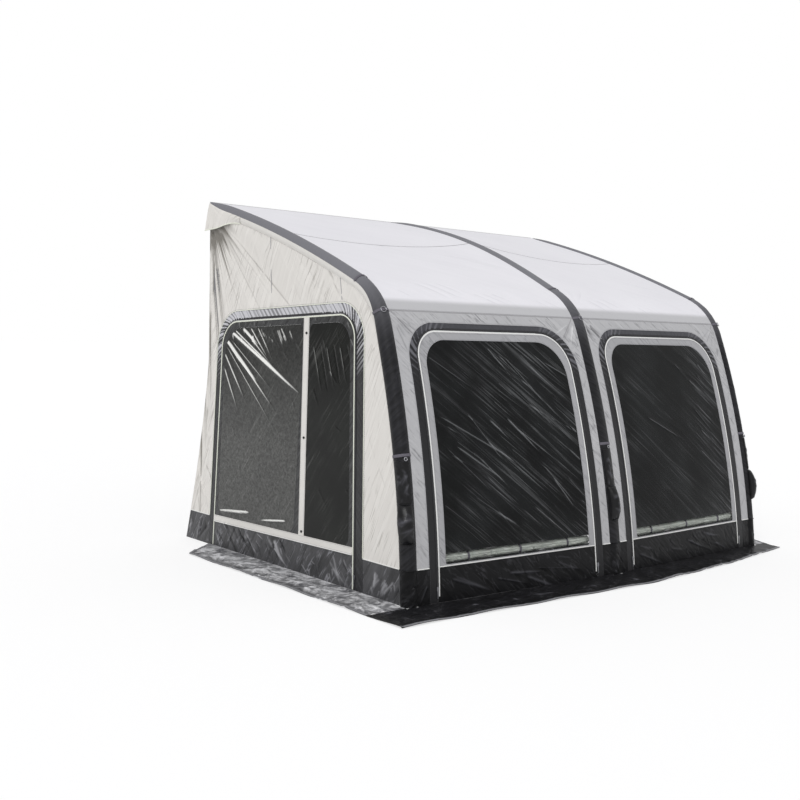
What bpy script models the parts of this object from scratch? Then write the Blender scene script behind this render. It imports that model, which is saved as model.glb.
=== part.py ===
# Porch awning on three inflated beams, held by its rear edge in a vehicle's awning rail.
# Metres, +Z up, front wall towards -Y, vehicle towards +Y, origin on the ground under
# the middle of its box. u runs across the front from left to right, v runs up the front
# wall from the ground, and a run is measured down the cloth from the rail to the ground.

import math

import bmesh
import bpy
import numpy
from mathutils import Matrix, Vector
from mathutils.geometry import delaunay_2d_cdt

# Whole awning
half_width = 1.80            # side wall's outer face from the middle, on the ground
side_draw_in = 0.073         # how much nearer the middle a side wall stands at the rail
rail_height = 2.48
overall_depth = 2.925
flap_width = 0.31            # ground flap outside the walls
wall_tail = 0.12             # foot of a side wall behind the rail, under the vehicle
knee_height = 1.835          # where the roof line and the front line would meet
knee_set_back = 0.45         # that meeting point behind the foot of the front wall
knee_round = 0.22            # rounding on either side of it
leg_bow = 0.074              # the front legs' bow outwards between foot and knee
roof_bow = 0.052             # the beams' bow upwards between rail and knee
middle_lift = 0.050          # how far the middle beam bows above the others
middle_forward = 0.075       # middle beam's foot in front of the corner beams' feet
roof_sag = 0.028             # cloth's sag between two beams
piping_height = 0.212        # top of the black lower wall

# Cloth and seams
cloth = 0.003
seam_gap = 0.0004
flap_cloth = 0.004
cloth_step = 0.13            # spacing of the points on a panel
wave_step = 0.095            # closer spacing where a panel has folds
sliver_share = 0.0001        # flattest triangle that counts as cloth

# Inflated beams and their sleeves
beam_radius = 0.047
middle_half = 0.052          # half the middle sleeve's width
tip_start = 0.002            # where the sleeves begin, below the rail
tip_run = 0.24               # run over which they widen
tip_share = 0.22             # width of the tip as a share of the full width
sleeve_sides = 6             # facets over a sleeve's half circle

# Front openings: arch of dark band, zip line, panel and window
outer_margin = 0.095         # corner sleeve to the band
middle_margin = 0.075        # middle sleeve to the band
arch_rise = 1.70             # top of the band, up the cloth
arch_round_left = 0.24
arch_round_right = 0.31
band_side = 0.066
band_top = 0.050
zip_gap = 0.002              # between the band and the panel that zips into it
pane_side = 0.062            # border between zip and window
pane_top = 0.062
pane_bottom = 0.222          # window's lower edge above the ground
pane_round = 0.016           # small at its lower corners
pane_cloth = 0.0014
seam_rise = 1.775            # seam between roof and front wall, up the cloth

# Side doors, in the plane of a side wall: y to the rear, z up
door_rear_set = 0.32         # band's outer edge in front of the awning's rear end
door_front_set = 0.42        # band's outer edge behind the foot of the front wall, on the ground
door_lean = 0.130            # how much further back that edge stands at the arch
door_rise_rear = 1.682
door_rise_front = 1.773
door_round_rear = 0.26
door_round_front = 0.24
side_band_rear = 0.050
side_band_front = 0.090
side_band_top = 0.070
post_share = 0.398           # middle of the upright strip between the two windows, along the opening
post_width = 0.072
side_pane_border = 0.050
side_pane_bottom = 0.235
side_pane_round = 0.09
waist_height = 1.35          # where a side wall's rear edge stands furthest forward
waist_set_in = 0.082         # how far in front of the rail that is
wall_fold = 0.010            # depth of the folds fanning down a side wall
fan_pitch = math.radians(14)

# Ground flap and lower wall
flap_wave = 0.008
flap_wave_length = 0.55
flap_tuck = 0.010            # flap under the panels
flap_cut_back = 0.26         # slanted rear end of the side flaps
flap_bend_right = 1.00       # right of here the front flap's hem draws in towards its corner
flap_bend_width = 0.276      # width of the flap at that place
flap_corner_right = 1.87     # right front corner of the flap
flap_corner_width = 0.18
flap_start_right = 1.94      # right flap's hem at the front wall
flap_spread = 0.55           # and how far behind it that hem is out at its full width

# Keder in the rail
keder_radius = 0.0035
keder_tape = 0.022

# Foam pad along each rear edge
pad_width = 0.11
pad_thick = 0.045
pad_round = 0.016
pad_foot = 0.30
pad_top = 2.00

# Rain hood over each rear top corner
hood_length = 0.46
hood_drop = 0.20
hood_stand = 0.035

# Rolled blind below each front window
blind_radius = 0.036
blind_pinch = 0.006
blind_end = 0.010            # short of the window's sides
blind_rise = 0.262
blind_ties = 3

# Inflation valves
valve_height = 0.42
valve_radius = 0.019
valve_length = 0.016
cap_radius = 0.022
cap_length = 0.011
cap_grips = 10
cap_grip_depth = 0.0015

# Storm strap pockets and pouches on the sleeves
pocket_top = 0.835
pocket_foot = 0.600
pocket_thick = 0.004
pocket_cover = 0.040         # half width on the middle sleeve
pouch_top = 0.590
pouch_foot = 0.365
pouch_thick = 0.007
pouch_bulge = 0.040
patch_angle = math.radians(45)

# Zip sliders
slider_width = 0.015
slider_body = 0.026
slider_tab = 0.042
slider_tab_width = 0.008
slider_thick = 0.005
slider_rise = 0.030          # bottom of a slider's tab above the ground

front_y = -overall_depth / 2
rear_y = overall_depth / 2
foot_y = front_y + middle_forward + flap_width
rail_y = rear_y - wall_tail
door_rear = rear_y - door_rear_set
door_front = foot_y + door_front_set
post_y = door_front + (door_rear - door_front) * post_share
slider_length = slider_tab + slider_body
sleeve_radius = beam_radius + seam_gap + cloth
hinge_height = flap_cloth + 2 * seam_gap


def fresh_material(name, colour, roughness, metallic=0.0, alpha=1.0):
    material = bpy.data.materials.new(name)
    material.use_nodes = True
    shader = material.node_tree.nodes["Principled BSDF"]
    shader.inputs["Base Color"].default_value = (*colour, 1.0)
    shader.inputs["Roughness"].default_value = roughness
    shader.inputs["Metallic"].default_value = metallic
    shader.inputs["Alpha"].default_value = alpha
    material.diffuse_color = (*colour, alpha)
    return material


# The front line as a curve in the y, z plane

def bowed(start, end, bow):
    # Arc from one point to another that bows outwards
    along = end - start
    length = along.length
    along = along / length
    outward = Vector((along.y, -along.x))
    radius = (length * length / 4 + bow * bow) / (2 * bow)
    centre = (start + end) / 2 - outward * (radius - bow)
    return {"along": along, "outward": outward, "radius": radius, "centre": centre,
            "half": math.asin(length / (2 * radius))}


def arc_point(arc, angle):
    return arc["centre"] + (arc["along"] * math.sin(angle) + arc["outward"] * math.cos(angle)) * arc["radius"]


def arc_tangent(arc, angle):
    return arc["along"] * math.cos(angle) - arc["outward"] * math.sin(angle)


def meet(p, d, q, e):
    # Where the line through p along d meets the line through q along e
    share = ((q.x - p.x) * e.y - (q.y - p.y) * e.x) / (d.x * e.y - d.y * e.x)
    return p + d * share


def front_line():
    knee = Vector((foot_y + knee_set_back, knee_height))
    roof = bowed(Vector((rail_y, rail_height)), knee, roof_bow)
    leg = bowed(knee, Vector((foot_y, 0)), leg_bow)
    roof_end = roof["half"] - knee_round / roof["radius"]
    leg_start = knee_round / leg["radius"] - leg["half"]
    bend_from, bend_to = arc_point(roof, roof_end), arc_point(leg, leg_start)
    corner = meet(bend_from, arc_tangent(roof, roof_end), bend_to, arc_tangent(leg, leg_start))
    steps = 30
    points = [arc_point(roof, (roof_end + roof["half"]) * i / steps - roof["half"]) for i in range(steps)]
    for i in range(steps):
        share = i / steps
        points.append(bend_from * (1 - share) ** 2 + corner * 2 * share * (1 - share) + bend_to * share ** 2)
    points += [arc_point(leg, leg_start + (leg["half"] - leg_start) * i / steps) for i in range(steps + 1)]
    return points, steps


line_points, bend_start = front_line()
line_y = numpy.array([p.x for p in line_points])
line_z = numpy.array([p.y for p in line_points])
line_run = numpy.concatenate([[0.0], numpy.cumsum(numpy.hypot(numpy.diff(line_y), numpy.diff(line_z)))])
roof_run = float(line_run[bend_start])
whole_run = float(line_run[-1])


def on_line(run):
    return float(numpy.interp(run, line_run, line_y)), float(numpy.interp(run, line_run, line_z))


def facing(run):
    reach = whole_run / 400
    y0, z0 = on_line(max(run - reach, 0.0))
    y1, z1 = on_line(min(run + reach, whole_run))
    length = math.hypot(y1 - y0, z1 - z0)
    return (z1 - z0) / length, -(y1 - y0) / length


def run_at_height(z):
    return float(numpy.interp(-z, -line_z, line_run))


def level_run(level, offset):
    # Run at which the point this far off the cloth stands at this height
    run = run_at_height(level)
    for _ in range(5):
        run = run_at_height(level - facing(run)[1] * offset)
    return run


def half_at(z):
    return half_width - side_draw_in * z / rail_height


def swell(run):
    # Share of the full width that a sleeve has at this run
    share = min(max((run - tip_start) / tip_run, 0.0), 1.0)
    return tip_share + (1 - tip_share) * math.sin(share * math.pi / 2)


def sleeve_at(run):
    return sleeve_radius * swell(run)


def corner_set(run):
    return 2 * sleeve_at(run) * math.cos(patch_angle)


bay_in = middle_half + seam_gap
bay_out = half_width - 2 * sleeve_radius * math.cos(patch_angle) - seam_gap


def across(u, run, z):
    # Where a point u across the foot of the front wall stands at this run
    inner = middle_half * swell(run) + seam_gap
    outer = half_at(z) - corner_set(run) - seam_gap
    share = (abs(u) - bay_in) / (bay_out - bay_in)
    return math.copysign(inner + (outer - inner) * share, u)


def bay_share(u):
    return min(max((abs(u) - bay_in) / (bay_out - bay_in), 0.0), 1.0)


def lift_at(u, run):
    # How far the roof stands above the corner beams' line
    down = min(max(run / roof_run, 0.0), 1.0)
    share = bay_share(u)
    sag = roof_sag * 4 * share * (1 - share) * math.sin(math.pi * down) ** 1.5
    return middle_lift * (1 - share) * math.sin(math.pi * down) - sag


def forward_at(u, run):
    # How far the cloth stands in front of the corner beams' line
    return middle_forward * (1 - bay_share(u)) * run / whole_run


def front_point(u, v, depth):
    run = whole_run - v
    y, z = on_line(run)
    ny, nz = facing(run)
    depth = depth - lift_at(u, run)
    return Vector((across(u, run, z), y - ny * depth - forward_at(u, run), z - nz * depth))


def wall_ripple(y, z):
    # Folds that fan down from the rear top corner, standing out of the wall
    dy, dz = rail_y - y, rail_height - z
    near = min(math.hypot(dy, dz) / rail_height, 1.0)
    wave = (1 - math.cos(2 * math.pi * math.atan2(dy, dz) / fan_pitch)) / 2
    return wall_fold * wave * 4 * near * (1 - near)


def side_point(side, y, z, depth, ripple=0.0):
    return Vector((side * (half_at(z) - depth + ripple), y, z))


# Solids

def finish(name, mesh, material):
    mesh.update()
    mesh.materials.append(material)
    mesh.shade_smooth()
    mesh.set_sharp_from_angle(angle=math.radians(40))
    solid = bpy.data.objects.new(name, mesh)
    bpy.context.scene.collection.objects.link(solid)
    return solid


def solid_from(name, points, faces, material, origin=None):
    mesh = bpy.data.meshes.new(name)
    bm = bmesh.new()
    origin = origin if origin else Vector((0, 0, 0))
    verts = [bm.verts.new(Vector(p) - origin) for p in points]
    for face in faces:
        bm.faces.new([verts[i] for i in face])
    bmesh.ops.recalc_face_normals(bm, faces=bm.faces)
    bmesh.ops.triangulate(bm, faces=bm.faces)
    bm.to_mesh(mesh)
    bm.free()
    solid = finish(name, mesh, material)
    solid.location = origin
    return solid


def sheet_solid(name, outer, inner, material, origin=None):
    # Solid between two grids of points, rows by columns
    rows, cols = len(outer), len(outer[0])
    points = [p for row in outer for p in row] + [p for row in inner for p in row]
    back = rows * cols
    faces = []
    for r in range(rows - 1):
        for c in range(cols - 1):
            a, b = r * cols + c, r * cols + c + 1
            d, e = a + cols, b + cols
            faces.append((a, b, e, d))
            faces.append((back + a, back + d, back + e, back + b))
    rim = [c for c in range(cols)] + [r * cols + cols - 1 for r in range(1, rows)]
    rim += [(rows - 1) * cols + c for c in range(cols - 2, -1, -1)] + [r * cols for r in range(rows - 2, 0, -1)]
    for i, a in enumerate(rim):
        b = rim[(i + 1) % len(rim)]
        faces.append((a, back + a, back + b, b))
    return solid_from(name, points, faces, material, origin)


def tube_solid(name, rings, material, origin=None):
    # Solid through rings of points, closed at both ends
    sides = len(rings[0])
    points = [p for ring in rings for p in ring]
    faces = [tuple(range(sides)), tuple(range(len(points) - sides, len(points)))]
    for r in range(len(rings) - 1):
        for c in range(sides):
            a, b = r * sides + c, r * sides + (c + 1) % sides
            faces.append((a, b, b + sides, a + sides))
    return solid_from(name, points, faces, material, origin)


def inside(point, loop):
    within = False
    for i, a in enumerate(loop):
        b = loop[i - 1]
        if (a.y > point.y) != (b.y > point.y):
            if point.x < (b.x - a.x) * (point.y - a.y) / (b.y - a.y) + a.x:
                within = not within
    return within


def loop_distance(point, loop):
    least = math.inf
    for i, a in enumerate(loop):
        b = loop[i - 1]
        edge = b - a
        share = min(max((point - a).dot(edge) / edge.length_squared, 0.0), 1.0)
        least = min(least, (a + edge * share - point).length)
    return least


def evened(loop, step):
    # The loop with its long edges divided
    points = []
    for i, a in enumerate(loop):
        b = loop[(i + 1) % len(loop)]
        parts = max(1, math.ceil((b - a).length / step))
        points += [a.lerp(b, k / parts) for k in range(parts)]
    return points


def panel_solid(name, loop, holes, place, material, step=cloth_step, thick=cloth, origin=None):
    # Cloth cut to a loop with holes, laid on a surface by place(a, b, depth)
    loops = [evened(each, step) for each in [loop] + holes]
    flat = [p for each in loops for p in each]
    edges = []
    start = 0
    for each in loops:
        edges += [(start + i, start + (i + 1) % len(each)) for i in range(len(each))]
        start += len(each)
    low = Vector((min(p.x for p in loops[0]), min(p.y for p in loops[0])))
    high = Vector((max(p.x for p in loops[0]), max(p.y for p in loops[0])))
    wide = max(1, round((high.x - low.x) / step))
    tall = max(1, round((high.y - low.y) / step))
    for i in range(1, wide):
        for j in range(1, tall):
            shift = (j % 2) / 2
            point = Vector((low.x + (high.x - low.x) * (i + shift - 1 / 4) / wide, low.y + (high.y - low.y) * j / tall))
            if inside(point, loops[0]) and not any(inside(point, hole) for hole in loops[1:]):
                if min(loop_distance(point, each) for each in loops) > step / 2:
                    flat.append(point)
    spots, _, triangles, _, _, _ = delaunay_2d_cdt(flat, edges, [], 0, 1e-7)
    kept = []
    for tri in triangles:
        a, b, c = (spots[i] for i in tri)
        middle = (a + b + c) / 3
        sliver = abs((b - a).cross(c - a)) < sliver_share * max((b - a).length, (c - b).length) ** 2
        if not sliver and inside(middle, loops[0]) and not any(inside(middle, hole) for hole in loops[1:]):
            kept.append(tuple(tri))
    used = sorted({i for tri in kept for i in tri})
    index = {spot: i for i, spot in enumerate(used)}
    back = len(used)
    points = [place(spots[i].x, spots[i].y, 0.0) for i in used]
    points += [place(spots[i].x, spots[i].y, thick) for i in used]
    sides = {(tri[k], tri[(k + 1) % 3]) for tri in kept for k in range(3)}
    faces = []
    for a, b, c in kept:
        faces.append((index[a], index[b], index[c]))
        faces.append((back + index[c], back + index[b], back + index[a]))
    for a, b in sides:
        if (b, a) not in sides:
            faces.append((index[a], back + index[a], back + index[b], index[b]))
    return solid_from(name, points, faces, material, origin)


def round_corner(before, corner, after, radius, steps=6):
    # Points of a round that joins two straight edges
    if radius <= 0:
        return [corner]
    back = (before - corner).normalized()
    ahead = (after - corner).normalized()
    half = back.angle(ahead) / 2
    reach = radius / math.tan(half)
    centre = corner + (back + ahead).normalized() * (radius / math.sin(half))
    start = corner + back * reach - centre
    end = corner + ahead * reach - centre
    turn = start.angle_signed(end)
    points = []
    for i in range(steps + 1):
        angle = -turn * i / steps
        points.append(centre + Matrix.Rotation(angle, 2) @ start)
    return points


def rounded(corners, steps=6):
    # Closed loop through corners given as (a, b, radius)
    spots = [Vector((a, b)) for a, b, _ in corners]
    points = []
    for i, (_, _, radius) in enumerate(corners):
        points += round_corner(spots[i - 1], spots[i], spots[(i + 1) % len(spots)], radius, steps)
    return points


def inset_lines(spec, left, top, right):
    # The arch's leg, top and leg as lines, drawn in from the outer arch
    foot_l, top_l, top_r, foot_r = (Vector(p) for p in spec["corners"])
    lines = []
    for start, end, inset in ((foot_l, top_l, left), (top_l, top_r, top), (top_r, foot_r, right)):
        direction = (end - start).normalized()
        lines.append((start + Vector((direction.y, -direction.x)) * inset, direction))
    return lines


def arch(spec, left, top, right, foot):
    # Path up one leg, over and down the other
    lines = inset_lines(spec, left, top, right)
    ground = Vector((0, foot)), Vector((1, 0))
    low_l = meet(*lines[0], *ground)
    high_l = meet(*lines[0], *lines[1])
    high_r = meet(*lines[1], *lines[2])
    low_r = meet(*lines[2], *ground)
    path = [low_l]
    path += round_corner(low_l, high_l, high_r, spec["round_l"] - (left + top) / 2)
    path += round_corner(high_l, high_r, low_r, spec["round_r"] - (top + right) / 2)
    return path + [low_r]


def spans(start, end, step):
    count = max(1, math.ceil(abs(end - start) / step))
    return [start + (end - start) * i / count for i in range(count + 1)]


# Beams, sleeves and what sits on them

def beam_runs():
    # Stations down a beam, closer at the tip and round the knee
    runs = spans(tip_start, tip_run, tip_run / 3)
    runs += spans(tip_run, roof_run, cloth_step * 2)[1:]
    bend_end = roof_run + knee_round * 2
    runs += spans(roof_run, bend_end, knee_round / 4)[1:]
    return runs + spans(bend_end, level_run(piping_height, 0.0), cloth_step)[1:-1]


def beam_centre_x(place, run, z):
    return 0.0 if place == 0 else place * (half_at(z) - corner_set(run) / 2)


def beam_point(place, run, angle, radius):
    # Point off a beam's axis: 90 degrees faces out of the cloth, 0 faces the side
    y, z = on_line(run)
    ny, nz = facing(run)
    lift = radius * math.sin(angle) - sleeve_at(run) * math.cos(patch_angle)
    x = beam_centre_x(place, run, z) + (place or 1) * radius * math.cos(angle)
    forward = 0.0 if place else forward_at(0.0, run)
    lift += 0.0 if place else lift_at(0.0, run)
    return Vector((x, y + ny * lift - forward, z + nz * lift))


def beam_level_point(place, level, angle, radius):
    lift = radius * math.sin(angle) - sleeve_radius * math.cos(patch_angle)
    point = beam_point(place, level_run(level, lift), angle, radius)
    return Vector((point.x, point.y, level))


def middle_point(u_share, run, lift):
    # Point on the middle sleeve's crown, u_share from -1 to 1 across it
    y, z = on_line(run)
    ny, nz = facing(run)
    crown = sleeve_at(run) * (1 - math.cos(patch_angle))
    rise = crown * (1 - u_share * u_share) + lift + lift_at(0.0, run)
    return Vector((u_share * middle_half * swell(run), y + ny * rise - forward_at(0.0, run), z + nz * rise))


def middle_level_point(u_share, level, lift):
    crown = sleeve_radius * (1 - math.cos(patch_angle))
    rise = crown * (1 - u_share * u_share) + lift
    point = middle_point(u_share, level_run(level, rise), lift)
    return Vector((point.x, point.y, level))


sleeve_angles = [math.pi - patch_angle - math.pi * i / sleeve_sides for i in range(sleeve_sides + 1)]
crown_shares = [-1 + 2 * i / sleeve_sides for i in range(sleeve_sides + 1)]


def air_beam(name, place, material):
    rings = []
    sides = 2 * sleeve_sides
    first = math.pi / 2 if place == 0 else math.pi - patch_angle
    turns = [first - 2 * math.pi * i / sides for i in range(sides)]
    for run in beam_runs()[1:]:
        radius = sleeve_at(run) - cloth - seam_gap
        rings.append([beam_point(place, run, angle, radius) for angle in turns])
    for level in [piping_height + seam_gap] + lower_levels():
        rings.append([beam_level_point(place, level, angle, beam_radius) for angle in turns])
    return tube_solid(name, rings, material)


def beam_sleeve(name, place, material):
    foot = piping_height + seam_gap
    outer, inner = [], []
    for run in beam_runs():
        radius = sleeve_at(run)
        if place == 0:
            outer.append([middle_point(share, run, 0.0) for share in crown_shares])
            inner.append([middle_point(share, run, -cloth) for share in crown_shares])
        else:
            outer.append([beam_point(place, run, angle, radius) for angle in sleeve_angles])
            inner.append([beam_point(place, run, angle, radius - cloth) for angle in sleeve_angles])
    if place == 0:
        outer.append([middle_level_point(share, foot, 0.0) for share in crown_shares])
        inner.append([middle_level_point(share, foot, -cloth) for share in crown_shares])
    else:
        outer.append([beam_level_point(place, foot, angle, sleeve_radius) for angle in sleeve_angles])
        inner.append([beam_level_point(place, foot, angle, sleeve_radius - cloth) for angle in sleeve_angles])
    return sheet_solid(name, outer, inner, material)


def beam_patch(name, place, top, foot, thick, bulge, material, hinged):
    # Patch or bag that lies on a sleeve between two heights
    rows, cols = 8, 6
    outer, inner = [], []
    for r in range(rows + 1):
        level = top + (foot - top) * r / rows
        fullness = math.sin(math.pi * r / rows) ** 0.6 if 0 < r < rows else 0.0
        out_row, in_row = [], []
        for c in range(cols + 1):
            share = -1 + 2 * c / cols
            puff = thick + bulge * fullness * (1 - share * share) ** 0.5
            if place == 0:
                spread = share * pocket_cover / middle_half
                out_row.append(middle_level_point(spread, level, seam_gap + puff))
                in_row.append(middle_level_point(spread, level, seam_gap))
            else:
                angle = patch_angle * (1 - share)
                out_row.append(beam_level_point(place, level, angle, sleeve_radius + seam_gap + puff))
                in_row.append(beam_level_point(place, level, angle, sleeve_radius + seam_gap))
        outer.append(out_row)
        inner.append(in_row)
    origin = outer[0][cols // 2].copy() if hinged else None
    return sheet_solid(name, outer, inner, material, origin)


def valve_frame(place):
    run = level_run(valve_height, -sleeve_radius)
    angle = -math.pi / 2
    flat = beam_radius * (math.cos(math.pi / (2 * sleeve_sides)) if place else 1)
    seat = beam_point(place, run, angle, flat + seam_gap)
    inward = (beam_point(place, run, angle, 2 * beam_radius) - beam_point(place, run, angle, beam_radius)).normalized()
    return seat, inward


def turned(name, base, axis, profile, material, grips=0, grip_depth=0.0, sides=20):
    # Round piece: profile is (distance along the axis, radius)
    side = Vector((1, 0, 0))
    up = axis.cross(side).normalized()
    rings = []
    for along, radius in profile:
        ring = []
        for i in range(sides):
            angle = 2 * math.pi * i / sides
            notch = grip_depth * (i % 2) if grips else 0.0
            ring.append(base + axis * along + (side * math.cos(angle) + up * math.sin(angle)) * (radius - notch))
        rings.append(ring)
    return tube_solid(name, rings, material, base)


def air_valve(name, place, material):
    seat, inward = valve_frame(place)
    flange = valve_length / 4
    profile = [(0, valve_radius), (flange, valve_radius), (flange, valve_radius * 3 / 4)]
    profile.append((valve_length, valve_radius * 3 / 4))
    return turned(name, seat, inward, profile, material)


def valve_cap(name, place, material):
    seat, inward = valve_frame(place)
    base = seat + inward * (valve_length + seam_gap)
    chamfer = cap_length / 5
    profile = [(0, cap_radius), (cap_length - chamfer, cap_radius), (cap_length, cap_radius - chamfer)]
    return turned(name, base, inward, profile, material, cap_grips, cap_grip_depth, 2 * cap_grips)


# Roof, front walls, bands and panels

def roof_bay(name, side, material):
    seam = whole_run - seam_rise
    runs = [0.0] + [run for run in beam_runs() if run < seam - wave_step / 4] + [seam]
    cols = 8
    places = [side * (bay_in + (bay_out - bay_in) * c / cols) for c in range(cols + 1)]
    outer = [[front_point(u, whole_run - run, 0.0) for u in places] for run in runs]
    inner = [[front_point(u, whole_run - run, cloth) for u in places] for run in runs]
    return sheet_solid(name, outer, inner, material)


def front_arch(side):
    low, high = (bay_in + middle_margin, bay_out - outer_margin) if side > 0 else (
        -bay_out + outer_margin, -bay_in - middle_margin)
    corners = [(low, 0.0), (low, arch_rise), (high, arch_rise), (high, 0.0)]
    return {"corners": corners, "round_l": arch_round_left, "round_r": arch_round_right}


def front_wall(name, side, material):
    low, high = sorted((side * bay_in, side * bay_out))
    foot = whole_run - run_at_height(piping_height) + 2 * seam_gap
    top = seam_rise - seam_gap
    outer = [Vector((low, foot)), Vector((low, top)), Vector((high, top)), Vector((high, foot))]
    inner = arch(front_arch(side), -seam_gap, -seam_gap, -seam_gap, foot)
    return panel_solid(name, outer + inner[::-1], [], front_point, material)


def arch_band(name, side, material):
    spec = front_arch(side)
    outer = arch(spec, 0.0, 0.0, 0.0, hinge_height)
    inner = arch(spec, band_side, band_top, band_side, hinge_height)
    return panel_solid(name, outer + inner[::-1], [], front_point, material)


def front_hinge(side):
    corners = front_arch(side)["corners"]
    u = (corners[0][0] + corners[3][0]) / 2
    return front_point(u, hinge_height, 0.0)


def pane_loop(side, inset):
    corners = front_arch(side)["corners"]
    low = corners[0][0] + band_side + pane_side + inset
    high = corners[3][0] - band_side - pane_side - inset
    top = arch_rise - band_top - pane_top - inset
    foot = pane_bottom + inset
    soft = pane_round - inset
    left = arch_round_left - band_side - inset
    right = arch_round_right - band_side - inset
    return rounded([(low, foot, soft), (high, foot, soft), (high, top, right), (low, top, left)])


def front_panel(name, side, material):
    spec = front_arch(side)
    side_in, top_in = band_side + zip_gap, band_top + zip_gap
    loop = arch(spec, side_in, top_in, side_in, hinge_height)
    return panel_solid(name, loop, [pane_loop(side, 0.0)], front_point, material, origin=front_hinge(side))


def front_window(name, side, material):
    def place(u, v, depth):
        return front_point(u, v, depth + (cloth - pane_cloth) / 2)
    return panel_solid(name, pane_loop(side, seam_gap), [], place, material, step=cloth_step * 2,
                       thick=pane_cloth, origin=front_hinge(side))


def rolled_blind(name, side, material):
    corners = front_arch(side)["corners"]
    reach = band_side + pane_side + blind_end
    low, high = corners[0][0] + reach, corners[3][0] - reach
    rings = []
    stations = 6 * blind_ties
    sides = 10
    for i in range(stations + 1):
        share = i / stations
        tie = math.cos(math.pi * (share * 2 * blind_ties)) * blind_pinch / 2
        radius = blind_radius - blind_pinch / 2 + (-tie if 0 < i < stations else -blind_pinch)
        u = low + (high - low) * share
        base = front_point(u, blind_rise, cloth + seam_gap + blind_radius)
        ahead = front_point(u, blind_rise, 0.0) - base
        ahead.x = 0
        ahead.normalize()
        up = Vector((1, 0, 0)).cross(ahead)
        ring = []
        for k in range(sides):
            angle = 2 * math.pi * k / sides
            ring.append(base + (ahead * math.cos(angle) + up * math.sin(angle)) * radius)
        rings.append(ring)
    return tube_solid(name, rings, material, front_hinge(side))


def slider_outline():
    half, tab = slider_width / 2, slider_tab_width / 2
    neck = slider_tab + slider_width / 3
    return [Vector(p) for p in ((-tab, 0), (tab, 0), (tab, slider_tab), (half, neck), (half, slider_length),
                                (-half, slider_length), (-half, neck), (-tab, slider_tab))]


def slider_leg(side, leg):
    corners = front_arch(side)["corners"]
    reach = band_side - slider_width / 2
    return corners[0][0] + reach if leg < 0 else corners[3][0] - reach


def slider_arc(side, leg):
    # Centre and axis of the arc that a slider travels up its leg
    u = slider_leg(side, leg)
    travel = arch_rise - arch_round_right - slider_length - slider_rise
    low, middle, high = (front_point(u, slider_rise + travel * share, 0.0) for share in (0, 1 / 2, 1))
    a, b = middle - low, high - low
    axis = a.cross(b)
    offset = (b.length_squared * axis.cross(a) + a.length_squared * b.cross(axis)) / (2 * axis.length_squared)
    return low + offset, axis.normalized()


def front_slider(name, side, leg, material):
    u0 = slider_leg(side, leg)

    def place(a, b, depth):
        return front_point(u0 + a, slider_rise + b, depth - slider_thick - seam_gap)
    return panel_solid(name, slider_outline(), [], place, material, thick=slider_thick,
                       origin=slider_arc(side, leg)[0])


# Side walls, bands and doors

def side_arch_spec():
    corners = [(door_front, 0.0), (door_front + door_lean, door_rise_front),
               (door_rear, door_rise_rear), (door_rear, 0.0)]
    return {"corners": corners, "round_l": door_round_front, "round_r": door_round_rear}


def under_sleeve(run, extra=0.0):
    # Where a side wall meets the corner sleeve
    y, z = on_line(run)
    ny, nz = facing(run)
    depth = corner_set(run) + seam_gap + extra
    return Vector((y - ny * depth, z - nz * depth))


def rear_edge(z):
    # The rear edge stands forward at the waist and reaches back at the foot
    if z > waist_height:
        share = (z - waist_height) / (rail_height - waist_height)
        return rail_y - waist_set_in * (1 - share)
    share = 1 - z / waist_height
    return rail_y - waist_set_in + (waist_set_in + wall_tail) * share ** 1.5


def side_wall(name, side, material):
    foot = piping_height + seam_gap
    front_run = level_run(foot, -corner_set(whole_run) - seam_gap)
    runs = [run for run in beam_runs() if run < front_run - wave_step / 4] + [front_run]
    top_edge = [under_sleeve(run) for run in reversed(runs)]
    rear = [Vector((rear_edge(z), z)) for z in spans(top_edge[-1].y - wave_step, foot, cloth_step)]
    inner = arch(side_arch_spec(), -seam_gap, -seam_gap, -seam_gap, foot)
    loop = top_edge + rear + inner[::-1]

    def place(y, z, depth):
        near = min(loop_distance(Vector((y, z)), loop) / wave_step, 1.0)
        return side_point(side, y, z, depth, wall_ripple(y, z) * near)
    return panel_solid(name, loop, [], place, material, step=wave_step)


def side_arch(name, side, material):
    spec = side_arch_spec()
    outer = arch(spec, 0.0, 0.0, 0.0, hinge_height)
    inner = arch(spec, side_band_front, side_band_top, side_band_rear, hinge_height)
    return panel_solid(name, outer + inner[::-1], [], lambda y, z, d: side_point(side, y, z, d), material,
                       step=cloth_step * 2)


def side_hinge(side):
    y = door_rear - side_band_rear - zip_gap
    return side_point(side, y, hinge_height, 0.0)


def side_pane(front, inset):
    # The window in front of the upright strip, or the one behind it
    border = zip_gap + side_pane_border + inset
    lines = inset_lines(side_arch_spec(), side_band_front + border, side_band_top + border,
                        side_band_rear + border)
    foot = side_pane_bottom + inset
    edge = post_y + (-1 if front else 1) * (post_width / 2 + inset)
    leg = lines[0] if front else lines[2]
    low = meet(*leg, Vector((0, foot)), Vector((1, 0)))
    high = meet(*leg, *lines[1])
    post_high = meet(*lines[1], Vector((edge, 0)), Vector((0, 1)))
    soft = side_pane_round - inset
    bend = (door_round_front - side_band_front if front else door_round_rear - side_band_rear) - inset
    corners = [(*low, soft), (*high, bend), (*post_high, soft / 2), (edge, foot, soft)]
    return rounded(corners if front else corners[::-1])


def side_door(name, side, material):
    loop = arch(side_arch_spec(), side_band_front + zip_gap, side_band_top + zip_gap,
                side_band_rear + zip_gap, hinge_height)
    panes = [side_pane(front, 0.0) for front in (True, False)]
    return panel_solid(name, loop, panes, lambda y, z, d: side_point(side, y, z, d), material,
                       step=cloth_step * 2, origin=side_hinge(side))


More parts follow.
